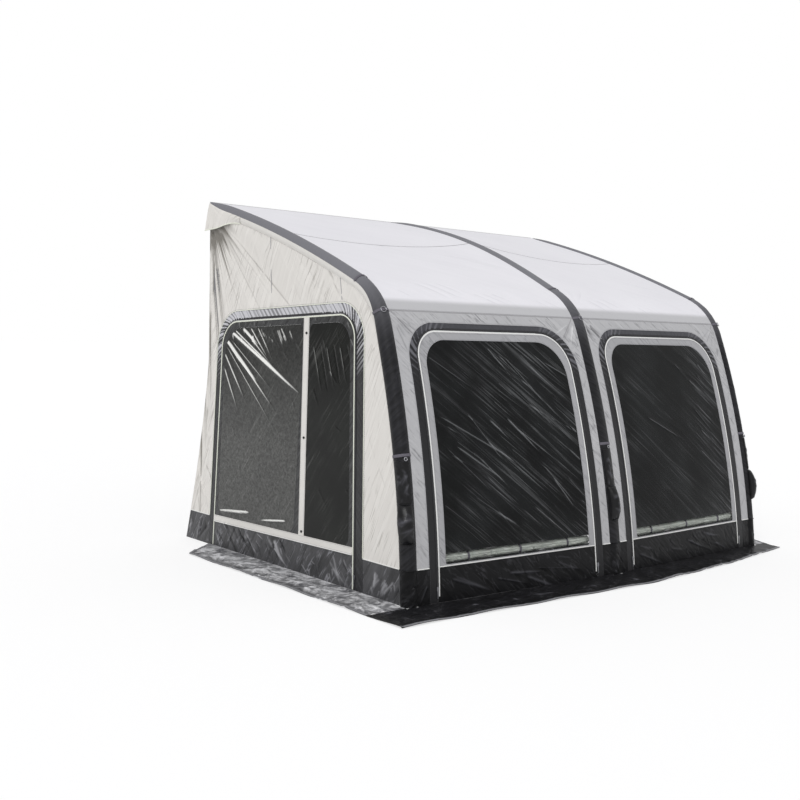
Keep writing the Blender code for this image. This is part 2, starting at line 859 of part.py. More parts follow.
def side_window(name, side, front, material):
    def place(y, z, depth):
        return side_point(side, y, z, depth + (cloth - pane_cloth) / 2)
    return panel_solid(name, side_pane(front, seam_gap), [], place, material, step=cloth_step * 2,
                       thick=pane_cloth, origin=side_hinge(side))


def side_slider(name, side, material):
    lean = door_lean / door_rise_front
    y0 = door_front + side_band_front - slider_width / 2

    def place(a, b, depth):
        z = slider_rise + b
        return side_point(side, y0 + lean * z + a, z, depth - slider_thick - seam_gap)
    base = place(0.0, slider_tab + slider_body / 2, 0.0)
    return panel_solid(name, slider_outline(), [], place, material, thick=slider_thick, origin=base)


# Black lower wall

def front_level_point(u, level, depth):
    run = level_run(level, -depth)
    y, z = on_line(run)
    return Vector((across(u, run, z), y - facing(run)[0] * depth - forward_at(u, run), level))


def lower_levels():
    return spans(piping_height - seam_gap, 0.0, piping_height / 2)


def lower_corner(name, side, material):
    # From the front band round the beam's foot to the side door's band
    band_edge = side * (bay_out - outer_margin + seam_gap)
    outer, inner = [], []
    for level in lower_levels():
        side_edge = door_front + door_lean * level / door_rise_front - seam_gap
        for rows, depth in ((outer, 0.0), (inner, cloth)):
            arc = [beam_level_point(side, level, angle, sleeve_radius - depth) for angle in sleeve_angles]
            row = [front_level_point(u, level, depth) for u in (band_edge, (band_edge + side * bay_out) / 2)]
            row += arc
            last = side_point(side, side_edge, level, depth)
            row += [Vector((last.x, arc[-1].y + (last.y - arc[-1].y) / 2, level)), last]
            rows.append(row)
    return sheet_solid(name, outer, inner, material)


def lower_middle(name, material):
    edge = bay_in + middle_margin - seam_gap
    outer, inner = [], []
    for level in lower_levels():
        for rows, depth in ((outer, 0.0), (inner, cloth)):
            crown = [middle_level_point(share, level, -depth) for share in crown_shares]
            left = front_level_point(-edge, level, depth)
            right = front_level_point(edge, level, depth)
            rows.append([left] + crown + [right])
    return sheet_solid(name, outer, inner, material)


def lower_rear(name, side, material):
    levels = spans(0.0, piping_height - seam_gap, piping_height / 2)
    loop = [Vector((door_rear + seam_gap, level)) for level in reversed(levels)]
    loop += [Vector((rear_edge(level), level)) for level in levels]
    return panel_solid(name, loop, [], lambda y, z, d: side_point(side, y, z, d), material)


# Ground flap

def flap_place(x, y, depth):
    # The flap lies flat at the wall and waves a little towards its hem
    ahead = foot_y - forward_at(x, whole_run) - y
    beside = abs(x) - half_width
    out = max(beside, ahead) / flap_width
    along = x if ahead > beside else y
    rise = flap_wave * min(max(out, 0.0), 1.0) * (1 - math.cos(2 * math.pi * along / flap_wave_length)) / 2
    return Vector((x, y, flap_cloth - depth + rise))


sleeve_bump = sleeve_radius * (1 - math.cos(patch_angle))


def front_flap(name, material):
    wide = half_width + flap_width
    corner = half_width + sleeve_bump + 2 * seam_gap
    crown = foot_y - sleeve_bump - 2 * seam_gap
    plain = foot_y - 2 * seam_gap
    tucked = foot_y + flap_tuck
    band_out = bay_out - outer_margin - seam_gap
    band_in = bay_in + middle_margin + seam_gap
    half = [(wide, foot_y), (corner, foot_y), (corner, crown), (bay_out - cloth, crown)]
    half += [(bay_out - cloth, plain), (band_out, plain), (band_out, tucked), (band_in, tucked)]
    half += [(band_in, plain), (bay_in + cloth, plain), (bay_in + cloth, crown)]
    hem_left = [(bay_in, foot_y - flap_width), (bay_out, foot_y - flap_width), (wide, foot_y - flap_width)]
    hem_right = [(bay_in, foot_y - flap_width), (flap_bend_right, foot_y - flap_bend_width),
                 (flap_corner_right, foot_y - flap_corner_width)]
    left = [Vector((-x, y - forward_at(x, whole_run))) for x, y in hem_left + half]
    right = [Vector((x, y - forward_at(x, whole_run))) for x, y in hem_right + [(flap_start_right, foot_y)] + half[1:]]
    return panel_solid(name, right + left[::-1], [], flap_place, material, thick=flap_cloth)


def side_flap(name, side, material):
    wide = half_width + flap_width
    corner = half_width + sleeve_bump + 2 * seam_gap
    start = foot_y + seam_gap
    arc_end = foot_y + 2 * sleeve_radius
    plain = half_width + 2 * seam_gap
    tucked = half_width - flap_tuck
    end = door_rear - seam_gap
    hem = [(wide, start)] if side < 0 else [(flap_start_right, start), (wide, start + flap_spread)]
    half = [(corner, start)] + hem + [(wide, end - flap_cut_back), (plain, end), (tucked, end)]
    half += [(tucked, door_front + seam_gap), (plain, door_front + seam_gap), (plain, arc_end), (corner, arc_end)]
    return panel_solid(name, [Vector((side * x, y)) for x, y in half], [], flap_place, material,
                       thick=flap_cloth)


# Rear edge

def rail_keder(name, material):
    # Bead on a tape, cut along the whole rear edge
    roof_y, roof_z = on_line(tip_run)
    back = Vector((0, rail_y - roof_y, rail_height - roof_z)).normalized()
    up = Vector((0, -back.z, back.y))
    start = Vector((0, rail_y, rail_height)) + back * seam_gap - up * (cloth / 2)
    half_tape = cloth / 4
    bead = start + back * keder_tape
    section = [start - up * half_tape]
    open_angle = math.asin(half_tape / keder_radius)
    steps = 9
    for i in range(steps + 1):
        angle = math.pi + open_angle + (2 * math.pi - 2 * open_angle) * i / steps
        section.append(bead + back * keder_radius * math.cos(angle) + up * keder_radius * math.sin(angle))
    section.append(start + up * half_tape)
    end = half_at(rail_height) - sleeve_radius * tip_share
    rings = [[p + Vector((x, 0, 0)) for p in section] for x in spans(-end, end, end / 2)]
    return tube_solid(name, rings, material)


def rear_pad(name, side, material):
    rear = rail_y - waist_set_in
    rings = []
    for z in spans(pad_foot, pad_top, (pad_top - pad_foot) / 4):
        wall = half_at(z) - cloth - seam_gap
        front = rear - pad_width
        section = rounded([(wall, rear, pad_round), (wall - pad_thick, rear, pad_round),
                           (wall - pad_thick, front, pad_round), (wall, front, pad_round)], 3)
        rings.append([Vector((side * p.x, p.y, z)) for p in section])
    return tube_solid(name, rings, material)


def rain_hood(name, side, material):
    rows, cols = 4, 6
    outer, inner = [], []
    for r in range(rows + 1):
        out_row, in_row = [], []
        for c in range(cols + 1):
            down, ahead = r / rows, c / cols
            top = under_sleeve(tip_start + hood_length * ahead, cloth)
            drop = hood_drop * (1 - ahead) + cloth * 4 * ahead
            stand = hood_stand * down * (1 - ahead * 3 / 4) + seam_gap
            y = top.x - drop * down * side_draw_in / rail_height
            z = top.y - drop * down
            out_row.append(side_point(side, y, z, -stand - cloth))
            in_row.append(side_point(side, y, z, -stand))
        outer.append(out_row)
        inner.append(in_row)
    return sheet_solid(name, outer, inner, material)


def build():
    for old in list(bpy.data.objects):
        bpy.data.objects.remove(old, do_unlink=True)

    charcoal = fresh_material("charcoal_polyester", (0.11, 0.11, 0.12), 0.75)
    tube = fresh_material("beam_sleeve_nylon", (0.05, 0.05, 0.06), 0.6)
    roof = fresh_material("roof_polyester", (0.76, 0.76, 0.80), 0.7)
    front = fresh_material("front_polyester", (0.48, 0.48, 0.49), 0.75)
    cream = fresh_material("side_polyester", (0.72, 0.70, 0.66), 0.75)
    black = fresh_material("lower_wall_pvc", (0.015, 0.015, 0.017), 0.4)
    flap = fresh_material("flap_pvc", (0.03, 0.03, 0.035), 0.5)
    pane = fresh_material("window_pvc", (0.7, 0.75, 0.75), 0.05, alpha=0.3)
    blind = fresh_material("blind_polyester", (0.33, 0.36, 0.32), 0.8)
    foam = fresh_material("pad_foam", (0.30, 0.30, 0.31), 0.9)
    plastic = fresh_material("black_plastic", (0.02, 0.02, 0.02), 0.4)
    zip_metal = fresh_material("zip_metal", (0.35, 0.35, 0.36), 0.35, metallic=1.0)
    bead = fresh_material("keder_pvc", (0.75, 0.75, 0.76), 0.4)

    for word, place in (("left", -1), ("middle", 0), ("right", 1)):
        air_beam("air_beam_" + word, place, tube)
        beam_sleeve("beam_sleeve_" + word, place, charcoal)
        air_valve("air_valve_" + word, place, plastic)
        valve_cap("valve_cap_" + word, place, plastic)
        beam_patch("strap_pocket_" + word, place, pocket_top, pocket_foot, pocket_thick, 0.0, black, False)
        beam_patch("strap_pouch_" + word, place, pouch_top, pouch_foot, pouch_thick, pouch_bulge, black, True)

    for word, side in (("left", -1), ("right", 1)):
        roof_bay("roof_" + word, side, roof)
        front_wall("front_wall_" + word, side, front)
        arch_band("front_band_" + word, side, charcoal)
        front_panel("front_panel_" + word, side, front)
        front_window("front_window_" + word, side, pane)
        rolled_blind("rolled_blind_" + word, side, blind)
        front_slider("zip_slider_" + word + "_a", side, -1, zip_metal)
        front_slider("zip_slider_" + word + "_b", side, 1, zip_metal)
        side_wall("side_wall_" + word, side, cream)
        side_arch("side_band_" + word, side, charcoal)
        side_door("side_door_" + word, side, cream)
        side_window("side_window_front_" + word, side, True, pane)
        side_window("side_window_rear_" + word, side, False, pane)
        side_slider("door_slider_" + word, side, zip_metal)
        lower_corner("lower_wall_corner_" + word, side, black)
        lower_rear("lower_wall_rear_" + word, side, black)
        side_flap("ground_flap_" + word, side, flap)
        rear_pad("rear_pad_" + word, side, foam)
        rain_hood("rain_hood_" + word, side, cream)

    lower_middle("lower_wall_middle", black)
    front_flap("ground_flap_front", flap)
    rail_keder("rail_keder", bead)


build()
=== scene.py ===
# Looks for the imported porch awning. Every cloth is cut flat, in metres, and laid on the
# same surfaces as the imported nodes, with its folds, then trimmed and stitched.

import math

import bpy
import numpy as np
from mathutils import Matrix, Vector
from mathutils.geometry import delaunay_2d_cdt
from mathutils.kdtree import KDTree


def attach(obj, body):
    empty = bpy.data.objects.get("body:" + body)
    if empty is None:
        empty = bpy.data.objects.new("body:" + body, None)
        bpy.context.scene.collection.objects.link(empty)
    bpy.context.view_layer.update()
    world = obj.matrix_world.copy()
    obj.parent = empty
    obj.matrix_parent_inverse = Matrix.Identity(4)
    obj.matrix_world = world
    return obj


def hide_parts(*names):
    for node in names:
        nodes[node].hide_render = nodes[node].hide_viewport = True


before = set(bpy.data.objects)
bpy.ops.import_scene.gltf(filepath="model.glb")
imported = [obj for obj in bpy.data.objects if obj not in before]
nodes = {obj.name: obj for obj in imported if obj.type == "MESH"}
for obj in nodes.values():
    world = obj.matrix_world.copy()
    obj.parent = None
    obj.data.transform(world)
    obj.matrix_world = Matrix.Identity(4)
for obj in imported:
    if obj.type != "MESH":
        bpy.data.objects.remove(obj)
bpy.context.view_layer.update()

awning = {"halfWidth": 1.80, "drawIn": 0.073, "railHeight": 2.48, "railY": 1.3425, "footY": -1.0775,
    "kneeHeight": 1.835, "kneeBack": 0.45, "kneeRound": 0.22, "legBow": 0.074, "roofBow": 0.052,
    "middleLift": 0.050, "middleForward": 0.075, "roofSag": 0.028, "pipingHeight": 0.212, "seamRise": 1.775,
    "tubeRadius": 0.047, "sleeveRadius": 0.0504, "middleHalf": 0.052, "tipStart": 0.002, "tipRun": 0.24,
    "tipShare": 0.22, "gap": 0.0004}
halfWidth, railY, footY = awning["halfWidth"], awning["railY"], awning["footY"]
railHeight, gap = awning["railHeight"], awning["gap"]
sleeveRadius, middleHalf = awning["sleeveRadius"], awning["middleHalf"]
pipingHeight = awning["pipingHeight"]
clothThick, filmThick = 0.0016, 0.0010
slope = math.radians
# A fold this high counts as one where a material reads the fold
foldUnit = 0.006
sides = (("left", -1), ("right", 1))
beams = (("left", -1), ("middle", 0), ("right", 1))


# The front line in the y, z plane, from the rail over the knee to the ground

def bowedArc(start, end, bow):
    along = (end - start).normalized()
    length = (end - start).length
    outward = Vector((along.y, -along.x))
    radius = (length * length / 4 + bow * bow) / (2 * bow)
    return {"centre": (start + end) / 2 - outward * (radius - bow), "along": along, "outward": outward,
        "radius": radius, "half": math.asin(length / (2 * radius))}


def arcPoint(arc, angle):
    return arc["centre"] + (arc["along"] * math.sin(angle) + arc["outward"] * math.cos(angle)) * arc["radius"]


def arcHeading(arc, angle):
    return arc["along"] * math.cos(angle) - arc["outward"] * math.sin(angle)


def crossing(p, d, q, e):
    return p + d * (((q.x - p.x) * e.y - (q.y - p.y) * e.x) / (d.x * e.y - d.y * e.x))


def frontLine(steps=90):
    knee = Vector((footY + awning["kneeBack"], awning["kneeHeight"]))
    roof = bowedArc(Vector((railY, railHeight)), knee, awning["roofBow"])
    leg = bowedArc(knee, Vector((footY, 0)), awning["legBow"])
    roofEnd = roof["half"] - awning["kneeRound"] / roof["radius"]
    legStart = awning["kneeRound"] / leg["radius"] - leg["half"]
    bendFrom, bendTo = arcPoint(roof, roofEnd), arcPoint(leg, legStart)
    corner = crossing(bendFrom, arcHeading(roof, roofEnd), bendTo, arcHeading(leg, legStart))
    line = [arcPoint(roof, (roofEnd + roof["half"]) * i / steps - roof["half"]) for i in range(steps)]
    for i in range(steps):
        share = i / steps
        line.append(bendFrom * (1 - share) ** 2 + corner * 2 * share * (1 - share) + bendTo * share ** 2)
    line += [arcPoint(leg, legStart + (leg["half"] - legStart) * i / steps) for i in range(steps + 1)]
    return np.array(line), steps


linePoints, bendStart = frontLine()
lineY, lineZ = linePoints[:, 0], linePoints[:, 1]
lineRun = np.concatenate([[0.0], np.cumsum(np.hypot(np.diff(lineY), np.diff(lineZ)))])
roofRun, wholeRun = float(lineRun[bendStart]), float(lineRun[-1])


def onLine(run):
    return np.interp(run, lineRun, lineY), np.interp(run, lineRun, lineZ)


def facing(run):
    reach = wholeRun / 400
    y0, z0 = onLine(np.maximum(run - reach, 0.0))
    y1, z1 = onLine(np.minimum(run + reach, wholeRun))
    length = np.hypot(y1 - y0, z1 - z0)
    return (z1 - z0) / length, -(y1 - y0) / length


def levelRun(level, offset):
    run = np.interp(-level, -lineZ, lineRun)
    for _ in range(5):
        run = np.interp(-(level - facing(run)[1] * offset), -lineZ, lineRun)
    return run


def halfAt(z):
    return halfWidth - awning["drawIn"] * z / railHeight


def swell(run):
    share = np.clip((run - awning["tipStart"]) / awning["tipRun"], 0, 1)
    return awning["tipShare"] + (1 - awning["tipShare"]) * np.sin(share * math.pi / 2)


tuck = math.cos(math.pi / 4)
bayIn = middleHalf + gap
bayOut = halfWidth - 2 * sleeveRadius * tuck - gap


def cornerSet(run):
    return 2 * sleeveRadius * swell(run) * tuck


def bayShare(u):
    return np.clip((np.abs(u) - bayIn) / (bayOut - bayIn), 0, 1)


def across(u, run, z):
    inner = middleHalf * swell(run) + gap
    outer = halfAt(z) - cornerSet(run) - gap
    return np.sign(u) * (inner + (outer - inner) * (np.abs(u) - bayIn) / (bayOut - bayIn))


def liftAt(u, run):
    down, share = np.clip(run / roofRun, 0, 1), bayShare(u)
    sag = awning["roofSag"] * 4 * share * (1 - share) * np.sin(math.pi * down) ** 1.5
    return awning["middleLift"] * (1 - share) * np.sin(math.pi * down) - sag


def forwardAt(u, run):
    return awning["middleForward"] * (1 - bayShare(u)) * run / wholeRun


# Places: each takes flat cloth coordinates a and b and a depth into the cloth

def frontPlace(u, v, depth):
    run = wholeRun - v
    (y, z), (ny, nz) = onLine(run), facing(run)
    depth = depth - liftAt(u, run)
    return np.stack([across(u, run, z), y - ny * depth - forwardAt(u, run), z - nz * depth], -1)


def frontLevelPlace(u, level, depth):
    run = levelRun(level, -depth)
    y, z = onLine(run)
    return np.stack([across(u, run, z), y - facing(run)[0] * depth - forwardAt(u, run), z * 0 + level], -1)


def sidePlace(side):
    return lambda y, z, depth: np.stack([side * (halfAt(z) - depth), y + 0 * z, z + 0 * y], -1)


def beamPoint(place, run, angle, radius):
    (y, z), (ny, nz) = onLine(run), facing(run)
    lift = radius * np.sin(angle) - sleeveRadius * swell(run) * tuck
    x = (place * (halfAt(z) - cornerSet(run) / 2) if place else 0.0) + (place or 1) * radius * np.cos(angle)
    forward = 0.0 if place else forwardAt(0.0, run)
    lift = lift + (0.0 if place else liftAt(0.0, run))
    return np.stack([x + 0 * y, y + ny * lift - forward, z + nz * lift], -1)


def beamLevel(place, level, angle, radius):
    lift = radius * np.sin(angle) - sleeveRadius * tuck
    point = beamPoint(place, levelRun(level, lift), angle, radius)
    point[..., 2] = level
    return point


def crownPoint(share, run, lift):
    (y, z), (ny, nz) = onLine(run), facing(run)
    rise = sleeveRadius * swell(run) * (1 - tuck) * (1 - share * share) + lift + liftAt(0.0, run)
    return np.stack([share * middleHalf * swell(run), y + ny * rise - forwardAt(0.0, run), z + nz * rise], -1)


def crownLevel(share, level, lift):
    rise = sleeveRadius * (1 - tuck) * (1 - share * share) + lift
    point = crownPoint(share, levelRun(level, rise), lift)
    point[..., 2] = level
    return point


def sleevePlace(place):
    # a runs round the sleeve from its front bay edge, b down the run
    if place == 0:
        return lambda a, run, depth: crownPoint(a / middleHalf, run, -depth)

    def onCorner(a, run, depth):
        return beamPoint(place, run, math.pi * 3 / 4 - a / sleeveRadius, sleeveRadius * swell(run) - depth)
    return onCorner


# Cutting and laying cloth

def spread(loop, step):
    # The closed loop with its long edges divided
    loop = np.asarray(loop, float)
    out = []
    for a, b in zip(loop, np.roll(loop, -1, 0)):
        parts = max(1, math.ceil(np.linalg.norm(b - a) / step))
        out.append(a + (b - a) * (np.arange(parts) / parts)[:, None])
    return np.concatenate(out)


def insideLoop(spots, loop):
    loop = np.asarray(loop, float)
    x, y = spots[:, :1], spots[:, 1:]
    (ax, ay), (bx, by) = loop.T, np.roll(loop, 1, 0).T
    rise = np.where(by == ay, 1e-12, by - ay)
    return (((ay > y) != (by > y)) & (x < (bx - ax) * (y - ay) / rise + ax)).sum(1) % 2 == 1


def creaseSpots(rows, step):
    # Points down the crest and both feet of each fold, so that a narrow fold stays crisp
    out = []
    for a, b, angle, length, width, _ in rows:
        at = np.arange(0, length + step, step * 0.9)
        for aside in (-1.7 * width, 0.0, 1.7 * width):
            out.append(
                np.stack([a + at * math.cos(angle) - aside * math.sin(angle),
                        b + at * math.sin(angle) + aside * math.cos(angle)], -1))
    return np.concatenate(out)


def thinOut(spots, cell):
    # One spot for each cell of a fine grid
    _, first = np.unique(np.floor(spots / cell).astype(int), axis=0, return_index=True)
    return spots[np.sort(first)]


def distanceTo(points, spots):
    tree = KDTree(len(points))
    for i, (a, b) in enumerate(points):
        tree.insert((a, b, 0), i)
    tree.balance()
    return np.array([tree.find((a, b, 0))[2] for a, b in spots])


def insideCloth(spots, loop, holes):
    keep = insideLoop(spots, loop)
    for hole in holes:
        keep &= ~insideLoop(spots, hole)
    return keep


def cutCloth(loop, holes, step, edgeStep, creases=None):
    # Spots and triangles of a flat cloth, and each spot's distance to its edge
    rims = [spread(each, edgeStep) for each in [loop] + holes]
    flat = np.concatenate(rims)
    low, high = rims[0].min(0), rims[0].max(0)
    pitch = step * 0.87
    rows = []
    for i, y in enumerate(np.arange(low[1] + pitch / 2, high[1], pitch)):
        x = np.arange(low[0] + step * (0.3 + 0.5 * (i % 2)), high[0], step)
        rows.append(np.stack([x, np.full(len(x), y)], -1))
    grid = np.concatenate(rows)
    if creases is not None:
        lines = thinOut(creaseSpots(creases, step), step * 0.38)
        grid = np.concatenate([lines, grid[distanceTo(lines, grid) > step * 0.5]])
    grid = grid[insideCloth(grid, loop, holes)]
    grid = grid[distanceTo(flat, grid) > step * 0.55]
    edges, start = [], 0
    for rim in rims:
        edges += [(start + i, start + (i + 1) % len(rim)) for i in range(len(rim))]
        start += len(rim)
    corners = [Vector(p) for p in np.concatenate([flat, grid])]
    spots, _, faces, _, _, _ = delaunay_2d_cdt(corners, edges, [], 1, 1e-7)
    spots, faces = np.array([tuple(p) for p in spots]), np.array(faces)
    # Triangles with all corners on the rim may lie outside or in a hole, or be slivers
    onRim = (faces < len(flat)).all(1)
    a, b, c = (spots[faces[onRim]][:, k] for k in range(3))
    good = insideCloth(spots[faces[onRim]].mean(1), loop, holes) & (np.abs(np.cross(b - a, c - a)) > 1e-9)
    used, faces = np.unique(np.concatenate([faces[~onRim], faces[onRim][good]]), return_inverse=True)
    return spots[used], faces.reshape(-1, 3), distanceTo(flat, spots[used])


def newShape():
    return {"points": [], "faces": [], "marks": [], "folds": [], "count": 0, "area": 0.0}


def addShell(shape, spots, faces, place, depth, thick, fold, marks=None):
    # Closed cloth of one thickness, its outer side at this depth
    outer, inner = place(spots[:, 0], spots[:, 1], depth), place(spots[:, 0], spots[:, 1], depth + thick)
    a, b, c = (outer[faces[:, k]] for k in range(3))
    toward = (np.cross(b - a, c - a) * (outer - inner)[faces[:, 0]]).sum(1).sum()
    if toward < 0:
        faces = faces[:, ::-1]
    start, count = shape["count"], len(spots)
    pairs = np.concatenate([faces[:, [0, 1]], faces[:, [1, 2]], faces[:, [2, 0]]])
    keys = set(map(tuple, pairs))
    rim = np.array([(i, j) for i, j in keys if (j, i) not in keys])
    rim = rim[np.lexsort((rim[:, 1], rim[:, 0]))]
    rimFaces = np.concatenate([np.stack([rim[:, 0], rim[:, 0] + count, rim[:, 1] + count], -1),
        np.stack([rim[:, 0], rim[:, 1] + count, rim[:, 1]], -1)])
    every = np.concatenate([faces, faces[:, ::-1] + count, rimFaces]) + start
    shape["points"].append(np.concatenate([outer, inner]))
    shape["faces"] += [tuple(f) for f in every.tolist()]
    marks = spots if marks is None else marks
    shape["marks"].append(np.concatenate([marks, marks]))
    shape["folds"].append(np.concatenate([fold, fold]))
    shape["count"] += 2 * count
    shape["area"] += np.abs(np.cross(spots[faces[:, 1]] - spots[faces[:, 0]],
        spots[faces[:, 2]] - spots[faces[:, 0]])).sum() / 2


def addRings(shape, points, marks, loop=False, fold=None):
    # Rows of closed rings joined into a tube, its faces turned outwards
    rows, cols = points.shape[:2]
    index = np.arange(rows * cols).reshape(rows, cols)
    near, far = (index, np.roll(index, -1, 0)) if loop else (index[:-1], index[1:])
    quads = np.stack([near, np.roll(near, -1, 1), np.roll(far, -1, 1), far], -1).reshape(-1, 4)
    flat = points.reshape(-1, 3)
    a, b, c, d = (flat[quads[:, k]] - flat.mean(0) for k in range(4))
    inward = (a * np.cross(b, c)).sum() + (a * np.cross(c, d)).sum() < 0
    quads = (quads[:, ::-1] if inward else quads) + shape["count"]
    faces = [tuple(f) for f in quads.tolist()]
    if not loop:
        ends = [index[0][::-1], index[-1]]
        faces += [tuple((end[::-1] if inward else end) + shape["count"]) for end in ends]
    shape["points"].append(flat)
    shape["faces"] += faces
    shape["marks"].append(marks.reshape(-1, 2))
    shape["folds"].append(np.zeros(rows * cols) if fold is None else np.asarray(fold, float).reshape(-1))
    shape["count"] += rows * cols


def addSweep(shape, path, ups, profile, closed=False):
    # A closed profile of (sideways, up) points carried along a path with its up directions
    path, ups, profile = (np.asarray(each, float) for each in (path, ups, profile))
    ahead = np.roll(path, -1, 0) - np.roll(path, 1, 0) if closed else np.gradient(path, axis=0)
    ahead = ahead / np.linalg.norm(ahead, axis=1)[:, None]
    ups = ups - ahead * (ups * ahead).sum(1)[:, None]
    ups = ups / np.linalg.norm(ups, axis=1)[:, None]
    beside = np.cross(ahead, ups)
    shown = np.broadcast_to(profile, (len(path), profile.shape[-2], 2))
    points = path[:, None] + beside[:, None] * shown[..., :1] + ups[:, None] * shown[..., 1:]
    length = np.concatenate([[0], np.cumsum(np.linalg.norm(np.diff(path, axis=0), axis=1))])
    marks = np.stack([np.broadcast_to(length[:, None], shown.shape[:2]), shown[..., 0]], -1)
    addRings(shape, points, marks, closed)
    shape["area"] += length[-1] * (profile[..., 0].max() - profile[..., 0].min())


def roundProfile(radius, sidesCount=8, lift=0.0, flat=1.0):
    turn = np.arange(sidesCount) * 2 * math.pi / sidesCount
    return np.stack([radius * np.cos(turn), lift + radius * flat * np.sin(turn)], -1)


def tapeProfile(width, thick, lift=0.0):
    half, soft = width / 2, min(thick, width / 4) / 2
    return np.array([(-half, lift), (half, lift), (half, lift + thick - soft), (half - soft, lift + thick),
        (soft - half, lift + thick), (-half, lift + thick - soft)])


def newObject(name, data):
    made = bpy.data.objects.new(name, data)
    bpy.context.scene.collection.objects.link(made)
    return made


def makePiece(name, shape, material, sharp=50):
    mesh = bpy.data.meshes.new(name)
    mesh.from_pydata(np.concatenate(shape["points"]).tolist(), [], shape["faces"])
    mesh.update()
    marks = np.concatenate(shape["marks"])
    corners = np.zeros(len(mesh.loops), int)
    mesh.loops.foreach_get("vertex_index", corners)
    mesh.uv_layers.new(name="clothUV").data.foreach_set("uv", marks[corners].astype(np.float32).ravel())
    mesh.attributes.new("fold", "FLOAT", "POINT").data.foreach_set("value",
        np.concatenate(shape["folds"]).astype(np.float32))
    mesh.materials.append(material)
    mesh.shade_smooth()
    mesh.set_sharp_from_angle(angle=math.radians(sharp))
    return newObject(name, mesh)


def dress(piece, body, replaced=(), cut=None):
    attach(piece, body)
    if replaced:
        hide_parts(*replaced)
    if cut:
        cut[2] if len(cut) > 2 else None
    return piece


def flatSize(spots, area, loopLength):
    # Cut size: the box of the cloth, or a strip as long as half its edge
    wide, tall = spots.max(0) - spots.min(0)
    if area > 0.34 * wide * tall:
        return (float(wide), float(tall), float(area))
    return (float(2 * area / loopLength), float(loopLength / 2))


def foldRows(spots, rows, sharp=1.0):
    # Height of straight folds: rows of start a, start b, angle, length, half width, height
    total = np.zeros(len(spots))
    for a, b, angle, length, width, height in rows:
        da, db = spots[:, 0] - a, spots[:, 1] - b
        along = (da * math.cos(angle) + db * math.sin(angle)) / length
        near = (along > 0) & (along < 1)
        off = np.abs(-da[near] * math.sin(angle) + db[near] * math.cos(angle)) / width
        taper = np.minimum(along[near] / 0.12, 1) * np.minimum((1 - along[near]) / 0.45, 1)
        total[near] += height * taper * np.exp(-off ** (2 - sharp))
    return total


def creased(*bundles, sharp=1.0, extra=None):
    # Fold height of a cloth from its rows; the cutter reads the rows too
    rows = np.concatenate(bundles)

    def height(spots):
        return foldRows(spots, rows, sharp) + (extra(spots) if extra else 0)
    height.rows = rows
    return height


# Seeded rows of folds. A box is low a, low b, high a, high b; angles and turns are in degrees and radians;
# length, half width and height are each drawn between two values, and below zero is a groove

def between(limits, share):
    return limits[0] + (limits[1] - limits[0]) * share


def scatterFolds(seed, count, box, angle, turn, length, width, height):
    rng = np.random.default_rng(seed)
    low, high = np.array(box[:2]), np.array(box[2:])
    start = low + (high - low) * rng.random((count, 2))
    draw = rng.random((count, 4))
    return np.column_stack([start, math.radians(angle) + turn * (2 * draw[:, 0] - 1),
        between(length, draw[:, 1]), between(width, draw[:, 2]), between(height, draw[:, 3])])


def fanFolds(seed, count, centre, angles, reach, length, width, height):
    # Folds that start at a reach from the centre and spread between two angles
    rng = np.random.default_rng(seed)
    draw = rng.random((count, 5))
    first, last = math.radians(angles[0]), math.radians(angles[1])
    angle = first + (last - first) * (np.arange(count) + draw[:, 0]) / count
    start = np.array(centre) + np.stack([np.cos(angle), np.sin(angle)], -1) * between(reach,
        draw[:, 1])[:, None]
    return np.column_stack([start, angle, between(length, draw[:, 2]), between(width, draw[:, 3]),
        between(height, draw[:, 4])])


def parallelFolds(start, shift, count, angle, length, width, height):
    # A bundle of creases side by side, each one a little shorter
    return np.array(
        [(start[0] + shift[0] * i, start[1] + shift[1] * i, math.radians(angle), length * (1 - 0.06 * i),
                width, height * (-1) ** i) for i in range(count)])


def layCloth(name, loop, holes, place, material, body, replaced, folds=None, step=0.012, edgeStep=0.01,
        fade=0.03, thick=clothThick, lift=0.0, foldScale=foldUnit):
    spots, faces, away = cutCloth(loop, holes, step, edgeStep, getattr(folds, "rows", None))
    height = np.zeros(len(spots)) if folds is None else folds(spots)
    height, tint = height if isinstance(height, tuple) else (height, None)
    height = height * np.clip(away / fade, 0, 1)
    shape = newShape()
    addShell(shape, spots, faces, place, -height - lift, thick, height / foldScale if tint is None else tint)
    piece = makePiece(name, shape, material)
    edges = [np.asarray(each, float) for each in [loop] + holes]
    edge = sum(np.linalg.norm(np.roll(each, -1, 0) - each, axis=1).sum() for each in edges)
    return dress(piece, body, replaced, flatSize(spots, shape["area"], edge))


def pathOn(place, line, step=0.02, lift=0.0, closed=False):
    # Points along a line of flat cloth coordinates, with the directions out of the cloth
    line = np.asarray(line, float)
    if closed:
        line = np.concatenate([line, line[:1]])
    length = np.concatenate([[0], np.cumsum(np.linalg.norm(np.diff(line, axis=0), axis=1))])
    at = np.linspace(0, length[-1], max(3, int(length[-1] / step) + 1))
    if closed:
        at = at[:-1]
    a, b = np.interp(at, length, line[:, 0]), np.interp(at, length, line[:, 1])
    low, high = place(a, b, np.zeros(len(a))), place(a, b, np.full(len(a), -0.01))
    ups = (high - low) / np.linalg.norm(high - low, axis=1)[:, None]
    return low + ups * lift, ups


